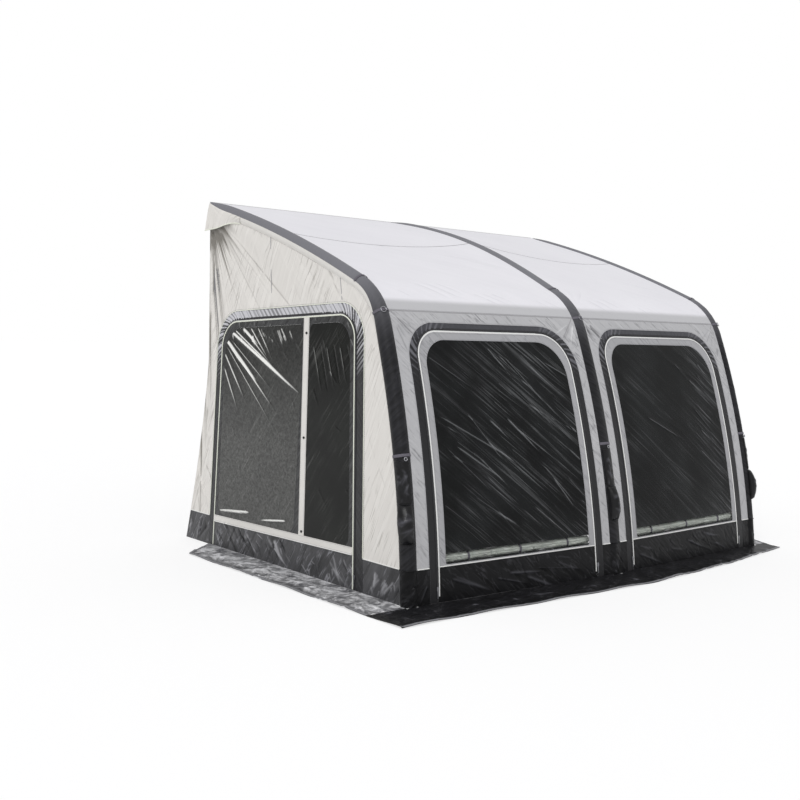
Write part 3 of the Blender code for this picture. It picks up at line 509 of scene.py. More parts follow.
def roundCorner(before, corner, after, radius, steps=14):
    before, corner, after = Vector(before), Vector(corner), Vector(after)
    if radius <= 0:
        return [corner]
    back, ahead = (before - corner).normalized(), (after - corner).normalized()
    half = back.angle(ahead) / 2
    centre = corner + (back + ahead).normalized() * (radius / math.sin(half))
    start, end = corner + back * (radius / math.tan(half)) - centre, corner + ahead * (
        radius / math.tan(half)) - centre
    turn = start.angle_signed(end)
    out = []
    for i in range(steps + 1):
        angle = turn * i / steps
        out.append(
            centre + Vector((start.x * math.cos(angle) + start.y * math.sin(angle),
                    start.y * math.cos(angle) - start.x * math.sin(angle))))
    return out


def roundedLoop(corners):
    out = []
    for i, (a, b, radius) in enumerate(corners):
        out += roundCorner(corners[i - 1][:2], (a, b), corners[(i + 1) % len(corners)][:2], radius)
    return np.array([tuple(p) for p in out])


def insetLines(spec, insets):
    # An arch's left leg, top and right leg, each moved in by its own inset
    spots = [Vector(p) for p in spec["corners"]]
    lines = []
    for start, end, inset in zip(spots[:-1], spots[1:], insets):
        heading = (end - start).normalized()
        lines.append((start + Vector((heading.y, -heading.x)) * inset, heading))
    return lines


def archLine(spec, inset, foot, more=0.0):
    # Line up one leg, over and down the other; inset is one number, or one for each of the three lines
    left, top, right = insets = [float(each) for each in np.broadcast_to(inset, 3) + more]
    lines = insetLines(spec, insets)
    ground = Vector((0, foot)), Vector((1, 0))
    lowL, highL = crossing(*lines[0], *ground), crossing(*lines[0], *lines[1])
    highR, lowR = crossing(*lines[1], *lines[2]), crossing(*lines[2], *ground)
    line = [lowL] + roundCorner(lowL, highL, highR, spec["roundL"] - (left + top) / 2)
    line += roundCorner(highL, highR, lowR, spec["roundR"] - (top + right) / 2) + [lowR]
    return np.array([tuple(p) for p in line])


# Materials

black, white = (0, 0, 0, 1), (1, 1, 1, 1)


def linear(hexColour):
    parts = [int(hexColour[i:i + 2], 16) / 255 for i in (0, 2, 4)]
    return (*[c / 12.92 if c <= 0.04045 else ((c + 0.055) / 1.055) ** 2.4 for c in parts], 1.0)


def darkened(hexColour, share):
    return tuple(share * c for c in linear(hexColour)[:3]) + (1,)


def setNode(tree, node, settings=None, links=None):
    # A link comes from a socket, or from the first output of a node
    for key, value in (settings or {}).items():
        if isinstance(key, str) and hasattr(node, key):
            setattr(node, key, value)
        else:
            node.inputs[key].default_value = value
    for key, source in (links or {}).items():
        socket = source.outputs[0] if isinstance(source, bpy.types.Node) else source
        tree.links.new(socket, node.inputs[key])
    return node


def addNode(tree, kind, settings=None, links=None):
    return setNode(tree, tree.nodes.new(kind), settings, links)


def setRamp(node, *stops):
    ramp = node.color_ramp
    while len(ramp.elements) < len(stops):
        ramp.elements.new(0.5)
    for element, (position, colour) in zip(ramp.elements, stops):
        element.position, element.color = position, colour


def newMaterial(name):
    material = bpy.data.materials.new(name)
    material.use_nodes = True
    return material, material.node_tree, material.node_tree.nodes["Principled BSDF"]


# What a cloth has unless its own look says otherwise: angles in degrees, sizes in metres
plainCloth = {"gloss": 0.5, "sheen": 0.0, "cloud": 0.30, "creaseAngle": 0.0, "creaseAlong": 3.0,
    "creaseAcross": 28.0, "creaseTint": 0.25, "creaseBump": 0.5, "creaseHigh": 0.004, "weave": 0.004,
    "weaveHigh": 0.0002, "ridgeFrom": 0.1, "ridgeTo": 0.9}


def clothMaterial(name, look):
    # Woven or coated cloth: even colour with cloudy variation, fine creases and weave, with painted shade and
    # painted highlights along its creases and folds (the fold tint)
    look = {**plainCloth, "creaseColour": look["shade"], **look}
    material, tree, shader = newMaterial(name)
    where = addNode(tree, "ShaderNodeUVMap", {"uv_map": "clothUV"})
    cloud = addNode(tree, "ShaderNodeTexNoise", {"Scale": 1 / look["cloud"], "Detail": 3.0}, {"Vector": where})
    turn = -math.radians(look["creaseAngle"])
    turned = addNode(tree, "ShaderNodeMapping", {"Rotation": (0, 0, turn)}, {"Vector": where})
    stretch = (look["creaseAlong"], look["creaseAcross"], 1)
    drawn = addNode(tree, "ShaderNodeMapping", {"Scale": stretch}, {"Vector": turned})
    noise = {"Scale": 1.0, "Detail": 4.0, "Roughness": 0.55, "Distortion": 0.35}
    crease = addNode(tree, "ShaderNodeTexNoise", noise, {"Vector": drawn})
    sharp = addNode(tree, "ShaderNodeValToRGB", {}, {"Fac": crease})
    setRamp(sharp, (0.30, black), (0.72, white))
    amount = addNode(tree, "ShaderNodeMath", {"operation": "MULTIPLY", 1: look["creaseTint"]}, {0: sharp})
    # Each layer: what its mix node is set to and linked to, over the colour so far
    # Painted light along the creases: a crease colour darker than the cloth paints shade in them, a lighter one
    # a highlight
    layers = [({7: linear(look["creaseColour"])}, {"Factor": amount})]
    if "fine" in look:
        # Fine creases: thin lines where the stretched noise crosses its middle, gone in patches; a fine colour
        # darker than the cloth paints shade in them, a lighter one a highlight
        thin = addNode(tree, "ShaderNodeValToRGB", {}, {"Fac": crease})
        setRamp(thin, (0.445, black), (0.472, white), (0.50, black))
        patches = {"From Min": 0.40, "From Max": 0.62, "To Max": look["fine"]}
        patchy = addNode(tree, "ShaderNodeMapRange", patches, {"Value": cloud})
        share = addNode(tree, "ShaderNodeMath", {"operation": "MULTIPLY"}, {0: thin, 1: patchy})
        layers.append(({7: linear(look["fineColour"])}, {"Factor": share}))
    if "grade" in look:
        # Another colour below a level, with a soft change
        start, end, other = look["grade"]
        height = addNode(tree, "ShaderNodeSeparateXYZ", {}, {"Vector": where})
        change = {"From Min": start, "From Max": end, "To Min": 1.0, "To Max": 0.0,
            "interpolation_type": "SMOOTHSTEP"}
        share = addNode(tree, "ShaderNodeMapRange", change, {"Value": height.outputs["Y"]})
        layers.append(({7: linear(other)}, {"Factor": share}))
    if "crumple" in look:
        # Crumpled film: painted highlights and painted shade on hard facets with folded edges
        dark, light, size = look["crumple"]
        noise = {"Scale": 1 / size, "Detail": 6.0, "Roughness": 0.62, "Distortion": 1.6}
        folded = addNode(tree, "ShaderNodeTexNoise", noise, {"Vector": where})
        facets = addNode(tree, "ShaderNodeValToRGB", {}, {"Fac": folded})
        setRamp(facets, (0.36, linear(dark)), (0.47, darkened(light, 0.36)), (0.60, linear(light)))
        layers.append(({"Factor": 0.72}, {7: facets}))
    if "grooveShade" in look:
        # Painted shade in the grooves, where the fold tint is below zero
        fold = addNode(tree, "ShaderNodeAttribute", {"attribute_name": "fold"})
        depths = {"From Min": -0.08, "From Max": -1.3, "To Max": 0.9}
        share = addNode(tree, "ShaderNodeMapRange", depths, {"Value": fold.outputs["Fac"]})
        layers.append(({7: linear(look["grooveShade"])}, {"Factor": share}))
    if "ridgeHighlight" in look:
        # Painted highlight on the fold crests
        fold = addNode(tree, "ShaderNodeAttribute", {"attribute_name": "fold"})
        ramp = addNode(tree, "ShaderNodeValToRGB", {}, {"Fac": fold.outputs["Fac"]})
        setRamp(ramp, (look["ridgeFrom"], black), (look["ridgeTo"], white))
        layers.append(({7: linear(look["ridgeHighlight"])}, {"Factor": ramp}))
    tones = {"data_type": "RGBA", 6: linear(look["shade"]), 7: linear(look["colour"])}
    colour = addNode(tree, "ShaderNodeMix", tones, {"Factor": cloud}).outputs[2]
    for settings, links in layers:
        mixed = addNode(tree, "ShaderNodeMix", {"data_type": "RGBA", **settings}, {6: colour, **links})
        colour = mixed.outputs[2]
    weaveScale = 2 * math.pi / look["weave"] / 20
    warp, weft = (addNode(tree, "ShaderNodeTexWave", {"bands_direction": way, "Scale": weaveScale},
        {"Vector": where}) for way in "XY")
    threads = addNode(tree, "ShaderNodeMath", {"operation": "ADD"},
        {0: warp.outputs["Fac"], 1: weft.outputs["Fac"]})
    weave = addNode(tree, "ShaderNodeBump", {"Strength": 0.25, "Distance": look["weaveHigh"]},
        {"Height": threads})
    bump = addNode(tree, "ShaderNodeBump", {"Strength": look["creaseBump"], "Distance": look["creaseHigh"]},
        {"Height": crease, "Normal": weave})
    setNode(tree, shader, {"Roughness": look["roughness"], "Specular IOR Level": look["gloss"],
        "Sheen Weight": look["sheen"]}, {"Base Color": colour, "Normal": bump})
    return material


# PU-coated polyester roof: smooth and matt, nearly white, with a faint lilac cast; painted shade makes it
# greyer below the ridge, where the cloth turns down away from the light, and darkens its creases and fold
# grooves
roofCloth = clothMaterial("coatedPolyesterRoof", {
    "colour": "F4F3F8", "shade": "E9E8EE", "roughness": 0.60, "cloud": 0.6, "creaseAngle": -34,
    "creaseAlong": 1.2, "creaseAcross": 18, "creaseTint": 0.10, "creaseColour": "D2D1D8", "creaseBump": 0.22,
    "creaseHigh": 0.005, "grooveShade": "A5A5AA", "grade": (1.832, 1.880, "C2C2C5")})
# Same cloth as the roof, painted mid grey for the front as painted shade, where it faces away from the light
# above; its many fine slanting creases and fold grooves are darkened with painted shade and its fold crests
# lightened with painted highlight; the panels' borders are a shade darker
shadedFrontLook = {"colour": "C8C8CA", "shade": "B6B6B9", "roughness": 0.6, "gloss": 0.3, "cloud": 0.22,
    "creaseAngle": -44, "creaseAlong": 2.6, "creaseAcross": 34, "creaseTint": 0.35, "creaseColour": "A4A4A7",
    "fine": 1.0, "fineColour": "7F7F83", "creaseBump": 1.0, "creaseHigh": 0.008, "grooveShade": "4E4E52",
    "ridgeHighlight": "DEDEE0", "ridgeFrom": 0.2, "ridgeTo": 1.4}
frontCloth = clothMaterial("coatedPolyesterShadedFront", shadedFrontLook)
borderCloth = clothMaterial("coatedPolyesterBorder", {**shadedFrontLook, "colour": "B4B4B7", "shade": "A2A2A5"})
# Cream polyester of the side walls, drawn into long folds; painted shade darkens its creases and fold grooves,
# and the groove colour also paints the hood's shadow on the wall
creamCloth = clothMaterial("coatedPolyesterCream", {
    "colour": "F1EEEA", "shade": "E3E0DB", "roughness": 0.62, "gloss": 0.3, "cloud": 0.25, "creaseAngle": -68,
    "creaseAlong": 1.2, "creaseAcross": 26, "creaseTint": 0.28, "creaseColour": "C4C0BA", "fine": 0.7,
    "fineColour": "9A968F", "creaseBump": 0.8, "creaseHigh": 0.006, "grooveShade": "75716A"})
# Cream binding cloth of the door's post and sill: flat and pulled tight, with faint painted shade in its
# creases
trimCloth = clothMaterial("creamBindingPolyester", {
    "colour": "ECEAE6", "shade": "E0DDD8", "roughness": 0.6, "creaseAlong": 3, "creaseAcross": 30,
    "creaseTint": 0.15, "creaseColour": "C9C5BE", "creaseBump": 0.3, "creaseHigh": 0.003})
# Seam allowance: the same cloths turned under and doubled, so a shade darker
seamCloth = clothMaterial("doubledSeamPolyester", {
    "colour": "A9A8AB", "shade": "9A999C", "roughness": 0.65, "creaseBump": 0.1, "creaseTint": 0.1})
# Charcoal polyester of the arches, darker down the legs than over the top, with a painted sheen on its creases
# and fold crests
charcoalCloth = clothMaterial("charcoalPolyester", {
    "colour": "47474D", "shade": "38383D", "roughness": 0.48, "gloss": 0.3, "sheen": 0.08, "creaseAngle": -50,
    "creaseAlong": 4, "creaseAcross": 45, "creaseTint": 0.40, "creaseColour": "4A4A50", "creaseBump": 0.7,
    "creaseHigh": 0.004, "grade": (1.56, 1.67, "1D1D20"), "ridgeHighlight": "67676D", "ridgeFrom": 0.5, "ridgeTo": 1.6})
# The beam stripes: same cloth, painted paler on the roof where it faces the sky, as painted sky light; painted
# highlights on its creases and fold crests
stripeCloth = clothMaterial("charcoalPolyesterStripe", {
    "colour": "161618", "shade": "0B0B0C", "roughness": 0.5, "gloss": 0.2, "sheen": 0.03, "creaseAngle": 35,
    "creaseAlong": 8, "creaseAcross": 60, "creaseTint": 0.6, "creaseColour": "37373C", "creaseBump": 0.9,
    "creaseHigh": 0.004, "grade": (1.75, 2.45, "79797F"), "ridgeHighlight": "55555B", "ridgeFrom": 0.2, "ridgeTo": 1.4})
# Side arch: shiny dark cloth gathered along its stitching; its silvery look is painted reflection of the sky on
# the gathers' crests and along its top
ruchedCloth = clothMaterial("gatheredCharcoalPolyester", {
    "colour": "242426", "shade": "0F0F10", "roughness": 0.34, "gloss": 0.35, "creaseAngle": 50,
    "creaseAlong": 6, "creaseAcross": 60, "creaseTint": 0.45, "creaseColour": "4C4C50", "ridgeHighlight": "CDCDD2",
    "ridgeFrom": 0.20, "ridgeTo": 1.0, "creaseBump": 0.8, "creaseHigh": 0.004})
# Door border: dark film, glossy and creased like the windows it frames, with painted highlights on its creases
# and fold crests
filmEdgeCloth = clothMaterial("filmBorderPvc", {
    "colour": "151616", "shade": "0B0B0C", "roughness": 0.25, "gloss": 0.3, "creaseAngle": -50,
    "creaseAlong": 6, "creaseAcross": 50, "creaseTint": 0.45, "creaseColour": "6E6F70", "ridgeHighlight": "B5B5B5",
    "creaseBump": 0.7, "creaseHigh": 0.004})
# Black PVC of the lower wall, with painted highlights on its creases and fold crests and painted shade in its
# grooves; its sides take a copy painted paler, a painted sheen where the low light picks out every crease
pvcLook = {"colour": "0E0E10", "shade": "050506", "roughness": 0.36, "gloss": 0.16, "cloud": 0.12,
    "creaseAngle": -40, "creaseAlong": 4, "creaseAcross": 22, "creaseTint": 0.5, "creaseColour": "222225",
    "fine": 0.5, "fineColour": "4C4C50", "ridgeHighlight": "4C4C51", "ridgeFrom": 0.25, "ridgeTo": 1.3,
    "grooveShade": "020203", "creaseBump": 0.9, "creaseHigh": 0.006}
blackPvc = clothMaterial("blackPvcFilm", pvcLook)
sheenPvc = clothMaterial("blackPvcFilmSide", {
    **pvcLook, "colour": "3C3C3E", "shade": "161617", "gloss": 0.3, "creaseAngle": -58, "creaseAlong": 2.4,
    "creaseAcross": 16, "creaseTint": 0.6, "creaseColour": "6A6A6D", "fine": 0.9, "fineColour": "94949A",
    "ridgeHighlight": "A0A0A4", "ridgeFrom": 0.12, "ridgeTo": 1.2})
# Ground flap: dark PVC that lies crumpled, with painted highlights of the sky on its creases and crests and
# painted shade in its grooves
flapPvc = clothMaterial("charcoalPvcFlap", {
    "colour": "121214", "shade": "09090A", "roughness": 0.40, "gloss": 0.22, "cloud": 0.14, "creaseAngle": 20,
    "creaseAlong": 8, "creaseAcross": 26, "creaseTint": 0.45, "creaseColour": "2B2B2F", "fine": 0.6,
    "fineColour": "55555A", "ridgeHighlight": "5C5C62", "ridgeFrom": 0.35, "ridgeTo": 1.4, "grooveShade": "030304",
    "creaseBump": 0.9, "creaseHigh": 0.006})
# Side flaps, left and right: the same dark PVC, painted silver and crumpled into light and dark facets, a
# painted reflection of the sky
skySheenPvc = clothMaterial("crumpledPvcFlap", {
    "colour": "7A7A80", "shade": "2C2C30", "cloud": 0.16, "roughness": 0.34, "gloss": 0.4, "creaseAngle": 60,
    "creaseAlong": 22, "creaseAcross": 34, "creaseTint": 0.4, "creaseColour": "C9C9CF",
    "crumple": ("4A4A4F", "F6F6F9", 0.10), "ridgeHighlight": "EDEDF0", "ridgeFrom": 0.3, "ridgeTo": 1.2,
    "grooveShade": "2B2B2E", "creaseBump": 1.0, "creaseHigh": 0.010})
# Rolled blind: thin grey-green polyester, painted paler than the cloth as painted light, since little light
# reaches it behind the film; painted shade in its creases
blindCloth = clothMaterial("blindPolyester", {
    "colour": "F0F4EE", "shade": "BFC7BC", "roughness": 0.7, "cloud": 0.08, "creaseAngle": 25,
    "creaseAlong": 9, "creaseAcross": 40, "creaseTint": 0.5, "creaseColour": "6E756C", "fine": 0.9,
    "fineColour": "4A5048", "creaseBump": 1.0, "creaseHigh": 0.008})
# Foam pad cover: grey brushed polyester
padCloth = clothMaterial("padPolyester", {
    "colour": "77777A", "shade": "69696C", "roughness": 0.85, "sheen": 0.3, "creaseBump": 0.25})
# Air tube: black nylon fabric, slightly glossy
tubeNylon = clothMaterial("airTubeNylon", {
    "colour": "2C2C30", "shade": "232326", "roughness": 0.45, "creaseAcross": 30, "creaseBump": 0.3})
# Webbing: ribbed polyester, grey
webbing = clothMaterial("polyesterWebbing", {
    "colour": "6C6972", "shade": "5C5962", "roughness": 0.75, "weave": 0.003, "weaveHigh": 0.0008,
    "creaseBump": 0.1})
# White PVC piping, and the same with the lime cast that the light trim has
pipingPvc = clothMaterial("whitePipingPvc", {
    "colour": "F4F4F2", "shade": "E8E8E6", "roughness": 0.4, "creaseBump": 0.05, "creaseTint": 0.0})
limeTrim = clothMaterial("limePipingPvc", {
    "colour": "F1F3E8", "shade": "EBEEDE", "roughness": 0.45, "creaseBump": 0.05, "creaseTint": 0.0})
hemTape = clothMaterial("greyHemTape", {
    "colour": "8E8E92", "shade": "7C7C80", "roughness": 0.6, "creaseBump": 0.2, "creaseTint": 0.1})
zipTape = clothMaterial("zipTapePolyester", {
    "colour": "2B2B2E", "shade": "232326", "roughness": 0.7, "creaseBump": 0.1, "weave": 0.002})


def hardMaterial(name, colour, roughness, metallic=0.0, grain=0.002):
    material, tree, shader = newMaterial(name)
    where = addNode(tree, "ShaderNodeTexCoord")
    noise = addNode(tree, "ShaderNodeTexNoise", {"Scale": 1 / grain, "Detail": 2.0},
        {"Vector": where.outputs["Object"]})
    polish = {"To Min": roughness * 0.85, "To Max": roughness * 1.15}
    tone = addNode(tree, "ShaderNodeMapRange", polish, {"Value": noise})
    tones = {"data_type": "RGBA", 6: linear(colour), 7: darkened(colour, 0.8)}
    shade = addNode(tree, "ShaderNodeMix", tones, {"Factor": noise})
    bump = addNode(tree, "ShaderNodeBump", {"Strength": 0.3, "Distance": 0.0001}, {"Height": noise})
    setNode(tree, shader, {"Metallic": metallic},
        {"Base Color": shade.outputs[2], "Roughness": tone, "Normal": bump})
    return material


# Moulded nylon of valves and toggles: satin with a fine spark-eroded grain
mouldedNylon = hardMaterial("mouldedBlackNylon", "18181A", 0.42, 0.0, 0.0015)
# Die-cast zinc sliders and plated steel rings
castZinc = hardMaterial("dieCastZinc", "8E8E93", 0.34, 1.0, 0.004)
platedSteel = hardMaterial("nickelPlatedSteel", "B9B9BE", 0.22, 1.0, 0.006)
# Zip chain: injection moulded acetal teeth
zipAcetal = hardMaterial("zipToothAcetal", "3A3A3D", 0.4, 0.0, 0.003)
# Sewing thread: bonded polyester
threadGrey = hardMaterial("bondedThreadGrey", "A2A2A6", 0.6)
threadDark = hardMaterial("bondedThreadDark", "4A4A4E", 0.6)
# Extruded keder bead and its coated tape
kederPvc = hardMaterial("extrudedKederPvc", "D6D6D8", 0.38, 0.0, 0.004)


def filmMaterial(name, look):
    # Tinted PVC film: dark and glossy, with painted highlights as pale streaks along its creases and on its
    # fold crests; "spread" is how creased it is across
    material, tree, shader = newMaterial(name)
    where = addNode(tree, "ShaderNodeUVMap", {"uv_map": "clothUV"})
    apart = addNode(tree, "ShaderNodeSeparateXYZ", {}, {"Vector": where}).outputs
    turn = -math.radians(look["creaseAngle"])
    turned = addNode(tree, "ShaderNodeMapping", {"Rotation": (0, 0, turn)}, {"Vector": where})
    layers = []
    for along, across, start, end, share in look["streaks"]:
        drawn = addNode(tree, "ShaderNodeMapping", {"Scale": (along, across, 1)}, {"Vector": turned})
        noise = {"Scale": 1.0, "Detail": 4.0, "Roughness": 0.6, "Distortion": 0.22}
        streak = addNode(tree, "ShaderNodeTexNoise", noise, {"Vector": drawn})
        shown = {"From Min": start, "From Max": end, "To Max": share}
        layers.append(addNode(tree, "ShaderNodeMapRange", shown, {"Value": streak}))
    haze = addNode(tree, "ShaderNodeTexNoise", {"Scale": 2.6, "Detail": 3.0}, {"Vector": where})
    hazy = {"From Min": 0.40, "From Max": 0.60, "To Min": 0.12, "To Max": 1.0}
    clouds = addNode(tree, "ShaderNodeMapRange", hazy, {"Value": haze})
    across = addNode(tree, "ShaderNodeMapRange", {"From Min": -2.0, "From Max": 2.0}, {"Value": apart["X"]})
    spreadOut = addNode(tree, "ShaderNodeValToRGB", {}, {"Fac": across})
    setRamp(spreadOut, *[((at + 2) / 4, (value, value, value, 1)) for at, value in look["spread"]])
    strong = addNode(tree, "ShaderNodeMath", {"operation": "ADD", "use_clamp": True},
        {0: layers[0], 1: layers[1]})
    faint = strong
    for weight in (clouds, spreadOut):
        faint = addNode(tree, "ShaderNodeMath", {"operation": "MULTIPLY"}, {0: faint, 1: weight})
    # Painted highlight on the fold crests
    fold = addNode(tree, "ShaderNodeAttribute", {"attribute_name": "fold"})
    crests = {"From Min": 0.30, "From Max": 1.0, "To Max": look["ridgeHighlight"]}
    pale = addNode(tree, "ShaderNodeMapRange", crests, {"Value": fold.outputs["Fac"]})
    both = addNode(tree, "ShaderNodeMath", {"operation": "ADD", "use_clamp": True}, {0: faint, 1: pale})
    if "speckle" in look:
        # The rear side window is crazed all over in fine crumples, palest low down
        fromY, high, low, share = look["speckle"]
        noise = {"Scale": 46.0, "Detail": 6.0, "Roughness": 0.7, "Distortion": 0.8}
        crazed = addNode(tree, "ShaderNodeTexNoise", noise, {"Vector": where})
        shown = {"From Min": 0.40, "From Max": 0.74, "To Min": 0.35}
        grain = addNode(tree, "ShaderNodeMapRange", shown, {"Value": crazed})
        shown = {"From Min": fromY, "From Max": fromY + 0.04, "To Max": share}
        rear = addNode(tree, "ShaderNodeMapRange", shown, {"Value": apart["X"]})
        shown = {"From Min": high, "From Max": low, "To Min": 0.3, "To Max": 1.0}
        below = addNode(tree, "ShaderNodeMapRange", shown, {"Value": apart["Y"]})
        for weight in (below, grain):
            rear = addNode(tree, "ShaderNodeMath", {"operation": "MULTIPLY"}, {0: rear, 1: weight})
        both = addNode(tree, "ShaderNodeMath", {"operation": "ADD", "use_clamp": True}, {0: both, 1: rear})
    tones = {"data_type": "RGBA", 6: linear(look["deep"]), 7: linear(look["colour"])}
    base = addNode(tree, "ShaderNodeMix", tones, {"Factor": clouds})
    colour = addNode(tree, "ShaderNodeMix", {"data_type": "RGBA", 7: linear(look["crease"])},
        {"Factor": both, 6: base.outputs[2]})
    solid = addNode(tree, "ShaderNodeMapRange", {"To Min": look["alpha"], "To Max": 1.0}, {"Value": both})
    if "clear" in look:
        # The film is clearest just above its lower edge, where the rolled blind lies behind it
        low, high, least = look["clear"]
        clear = addNode(tree, "ShaderNodeValToRGB", {}, {"Fac": apart["Y"]})
        dim = (least, least, least, 1)
        setRamp(clear, (low - 0.006, white), (low, dim), (high - 0.008, dim), (high, white))
        solid = addNode(tree, "ShaderNodeMath", {"operation": "MULTIPLY"}, {0: solid, 1: clear})
    dull = addNode(tree, "ShaderNodeMapRange", {"To Min": look["roughness"], "To Max": 0.35}, {"Value": both})
    bump = addNode(tree, "ShaderNodeBump", {"Strength": look["bump"], "Distance": 0.004}, {"Height": strong})
    setNode(tree, shader, {"IOR": 1.53, "Specular IOR Level": look["gloss"]},
        {"Base Color": colour.outputs[2], "Alpha": solid, "Roughness": dull, "Normal": bump})
    return material


# Each streak layer of painted highlight: noise scale along and across, where it starts and is full, and its
# share
frontFilm = filmMaterial("tintedPvcFilmFront", {
    "deep": "060708", "colour": "151718", "crease": "A6A8AB", "creaseAngle": -37, "gloss": 0.16, "ridgeHighlight": 0.55,
    "streaks": ((0.9, 24, 0.54, 0.80, 0.40), (1.5, 80, 0.56, 0.78, 0.52)), "alpha": 0.965,
    "clear": (0.238, 0.292, 0.06),
    "spread": ((-1.6, 0.35), (-1.2, 0.5), (-0.9, 1.0), (0.0, 1.0), (0.4, 0.22), (1.15, 0.30), (1.5, 0.9)),
    "roughness": 0.12, "bump": 0.5})
sideFilm = filmMaterial("tintedPvcFilmSide", {
    "deep": "090A08", "colour": "161815", "crease": "F2F2EF", "creaseAngle": -52, "gloss": 0.16, "ridgeHighlight": 1.0,
    "streaks": ((2.0, 30, 0.56, 0.80, 0.10), (3.0, 80, 0.56, 0.76, 0.10)), "alpha": 0.965,
    "speckle": (0.05, 1.45, 0.75, 0.17), "spread": ((-1.0, 0.7), (0.0, 0.8), (0.1, 1.0)), "roughness": 0.12,
    "bump": 0.3})

print("materials ready")


# Small things repeated along paths

def repeatTree(name, rounded=False):
    tree = bpy.data.node_groups.new(name, "GeometryNodeTree")
    tree.interface.new_socket("Path", in_out="INPUT", socket_type="NodeSocketGeometry")
    for label in ("Pitch", "Long", "Wide", "High"):
        tree.interface.new_socket(label, in_out="INPUT", socket_type="NodeSocketFloat")
    tree.interface.new_socket("Finish", in_out="INPUT", socket_type="NodeSocketMaterial")
    tree.interface.new_socket("Pieces", in_out="OUTPUT", socket_type="NodeSocketGeometry")
    given = addNode(tree, "NodeGroupInput").outputs
    curve = addNode(tree, "GeometryNodeMeshToCurve", {}, {"Mesh": given["Path"]})
    even = addNode(tree, "GeometryNodeResampleCurve", {"mode": "LENGTH"},
        {"Curve": curve, "Length": given["Pitch"]})
    heading = addNode(tree, "GeometryNodeInputTangent")
    up = addNode(tree, "GeometryNodeInputNamedAttribute", {"data_type": "FLOAT_VECTOR", "Name": "up"})
    turned = addNode(tree, "FunctionNodeAlignRotationToVector", {"axis": "X"}, {"Vector": heading})
    stood = addNode(tree, "FunctionNodeAlignRotationToVector", {"axis": "Z", "pivot_axis": "X"},
        {"Rotation": turned, "Vector": up})
    if rounded:
        half = addNode(tree, "ShaderNodeMath", {"operation": "MULTIPLY", 1: 0.5}, {0: given["Long"]})
        one = addNode(tree, "GeometryNodeMeshCylinder", {"Vertices": 14},
            {"Radius": half, "Depth": given["High"]})
    else:
        size = addNode(tree, "ShaderNodeCombineXYZ", {}, {0: given["Long"], 1: given["Wide"], 2: given["High"]})
        one = addNode(tree, "GeometryNodeMeshCube", {}, {"Size": size})
    placed = addNode(tree, "GeometryNodeInstanceOnPoints", {},
        {"Points": even, "Instance": one, "Rotation": stood})
    real = addNode(tree, "GeometryNodeRealizeInstances", {}, {0: placed})
    done = addNode(tree, "GeometryNodeSetMaterial", {}, {"Geometry": real, "Material": given["Finish"]})
    addNode(tree, "NodeGroupOutput", {}, {0: done})
    return tree


blockTree, buttonTree = repeatTree("blocksAlongPath"), repeatTree("buttonsAlongPath", True)


def repeatAlong(name, tree, material, body, paths, size):
    mesh = bpy.data.meshes.new(name)
    points, ups, edges = [], [], []
    for line, up in paths:
        edges += [(len(points) + i, len(points) + i + 1) for i in range(len(line) - 1)]
        points += line.tolist()
        ups.append(up)
    mesh.from_pydata(points, edges, [])
    mesh.attributes.new("up", "FLOAT_VECTOR", "POINT").data.foreach_set("vector",
        np.concatenate(ups).astype(np.float32).ravel())
    piece = newObject(name, mesh)
    modifier = piece.modifiers.new("repeat", "NODES")
    modifier.node_group = tree
    sockets = {item.name: item.identifier for item in tree.interface.items_tree if item.in_out == "INPUT"}
    for label, value in zip(("Pitch", "Long", "Wide", "High"), size):
        modifier[sockets[label]] = float(value)
    modifier[sockets["Finish"]] = material
    bpy.context.view_layer.update()
    ready = piece.evaluated_get(bpy.context.evaluated_depsgraph_get())
    piece.data = bpy.data.meshes.new_from_object(ready)
    piece.data.name = name
    piece.modifiers.clear()
    return dress(piece, body)


# Stitches are drawn coarse, 9 mm long, or they would not show from a few metres away
stitchSize = (0.013, 0.009, 0.0014, 0.0012)
stitches = {}


def stitch(body, place, line, closed=False, lift=0.0004, slot="front_polyester"):
    # Dark thread on the charcoal cloth, grey elsewhere
    stitches.setdefault((body, slot == "charcoal_polyester", slot),
        []).append(pathOn(place, line, 0.02, lift, closed))


# Beams

beamLook = {"sidesRound": 28, "rowStep": 0.03, "creamFrom": 0.68, "creamLeg": 0.97, "turnStart": 0.10,
    "turnRun": 0.50, "stripeGap": 0.0006, "tubeIn": 0.0036, "footStart": 0.03, "footLevels": (0.02, 0.0)}


def beamRows(step):
    head = np.linspace(awning["tipStart"], awning["tipRun"], 14)
    return np.concatenate([head, np.arange(awning["tipRun"] + step, wholeRun, step)])


def makeTube(word, place):
    turn = np.arange(beamLook["sidesRound"]) * 2 * math.pi / beamLook["sidesRound"]
    rings = [beamPoint(place, np.full(len(turn), run), turn, sleeveRadius * swell(run) - beamLook["tubeIn"])
        for run in beamRows(beamLook["rowStep"])[1:] if run < levelRun(beamLook["footStart"], 0)]
    rings += [beamLevel(place, level, turn, awning["tubeRadius"] - gap / 2) for level in beamLook["footLevels"]]
    points = np.array(rings)
    marks = np.stack(np.broadcast_arrays(turn * sleeveRadius,
        np.arange(len(rings))[:, None] * beamLook["rowStep"]), -1)
    shape = newShape()
    addRings(shape, points, marks)
    dress(makePiece("airTube_" + word, shape, tubeNylon, sharp=60), "awning",
        ["air_beam_" + word])


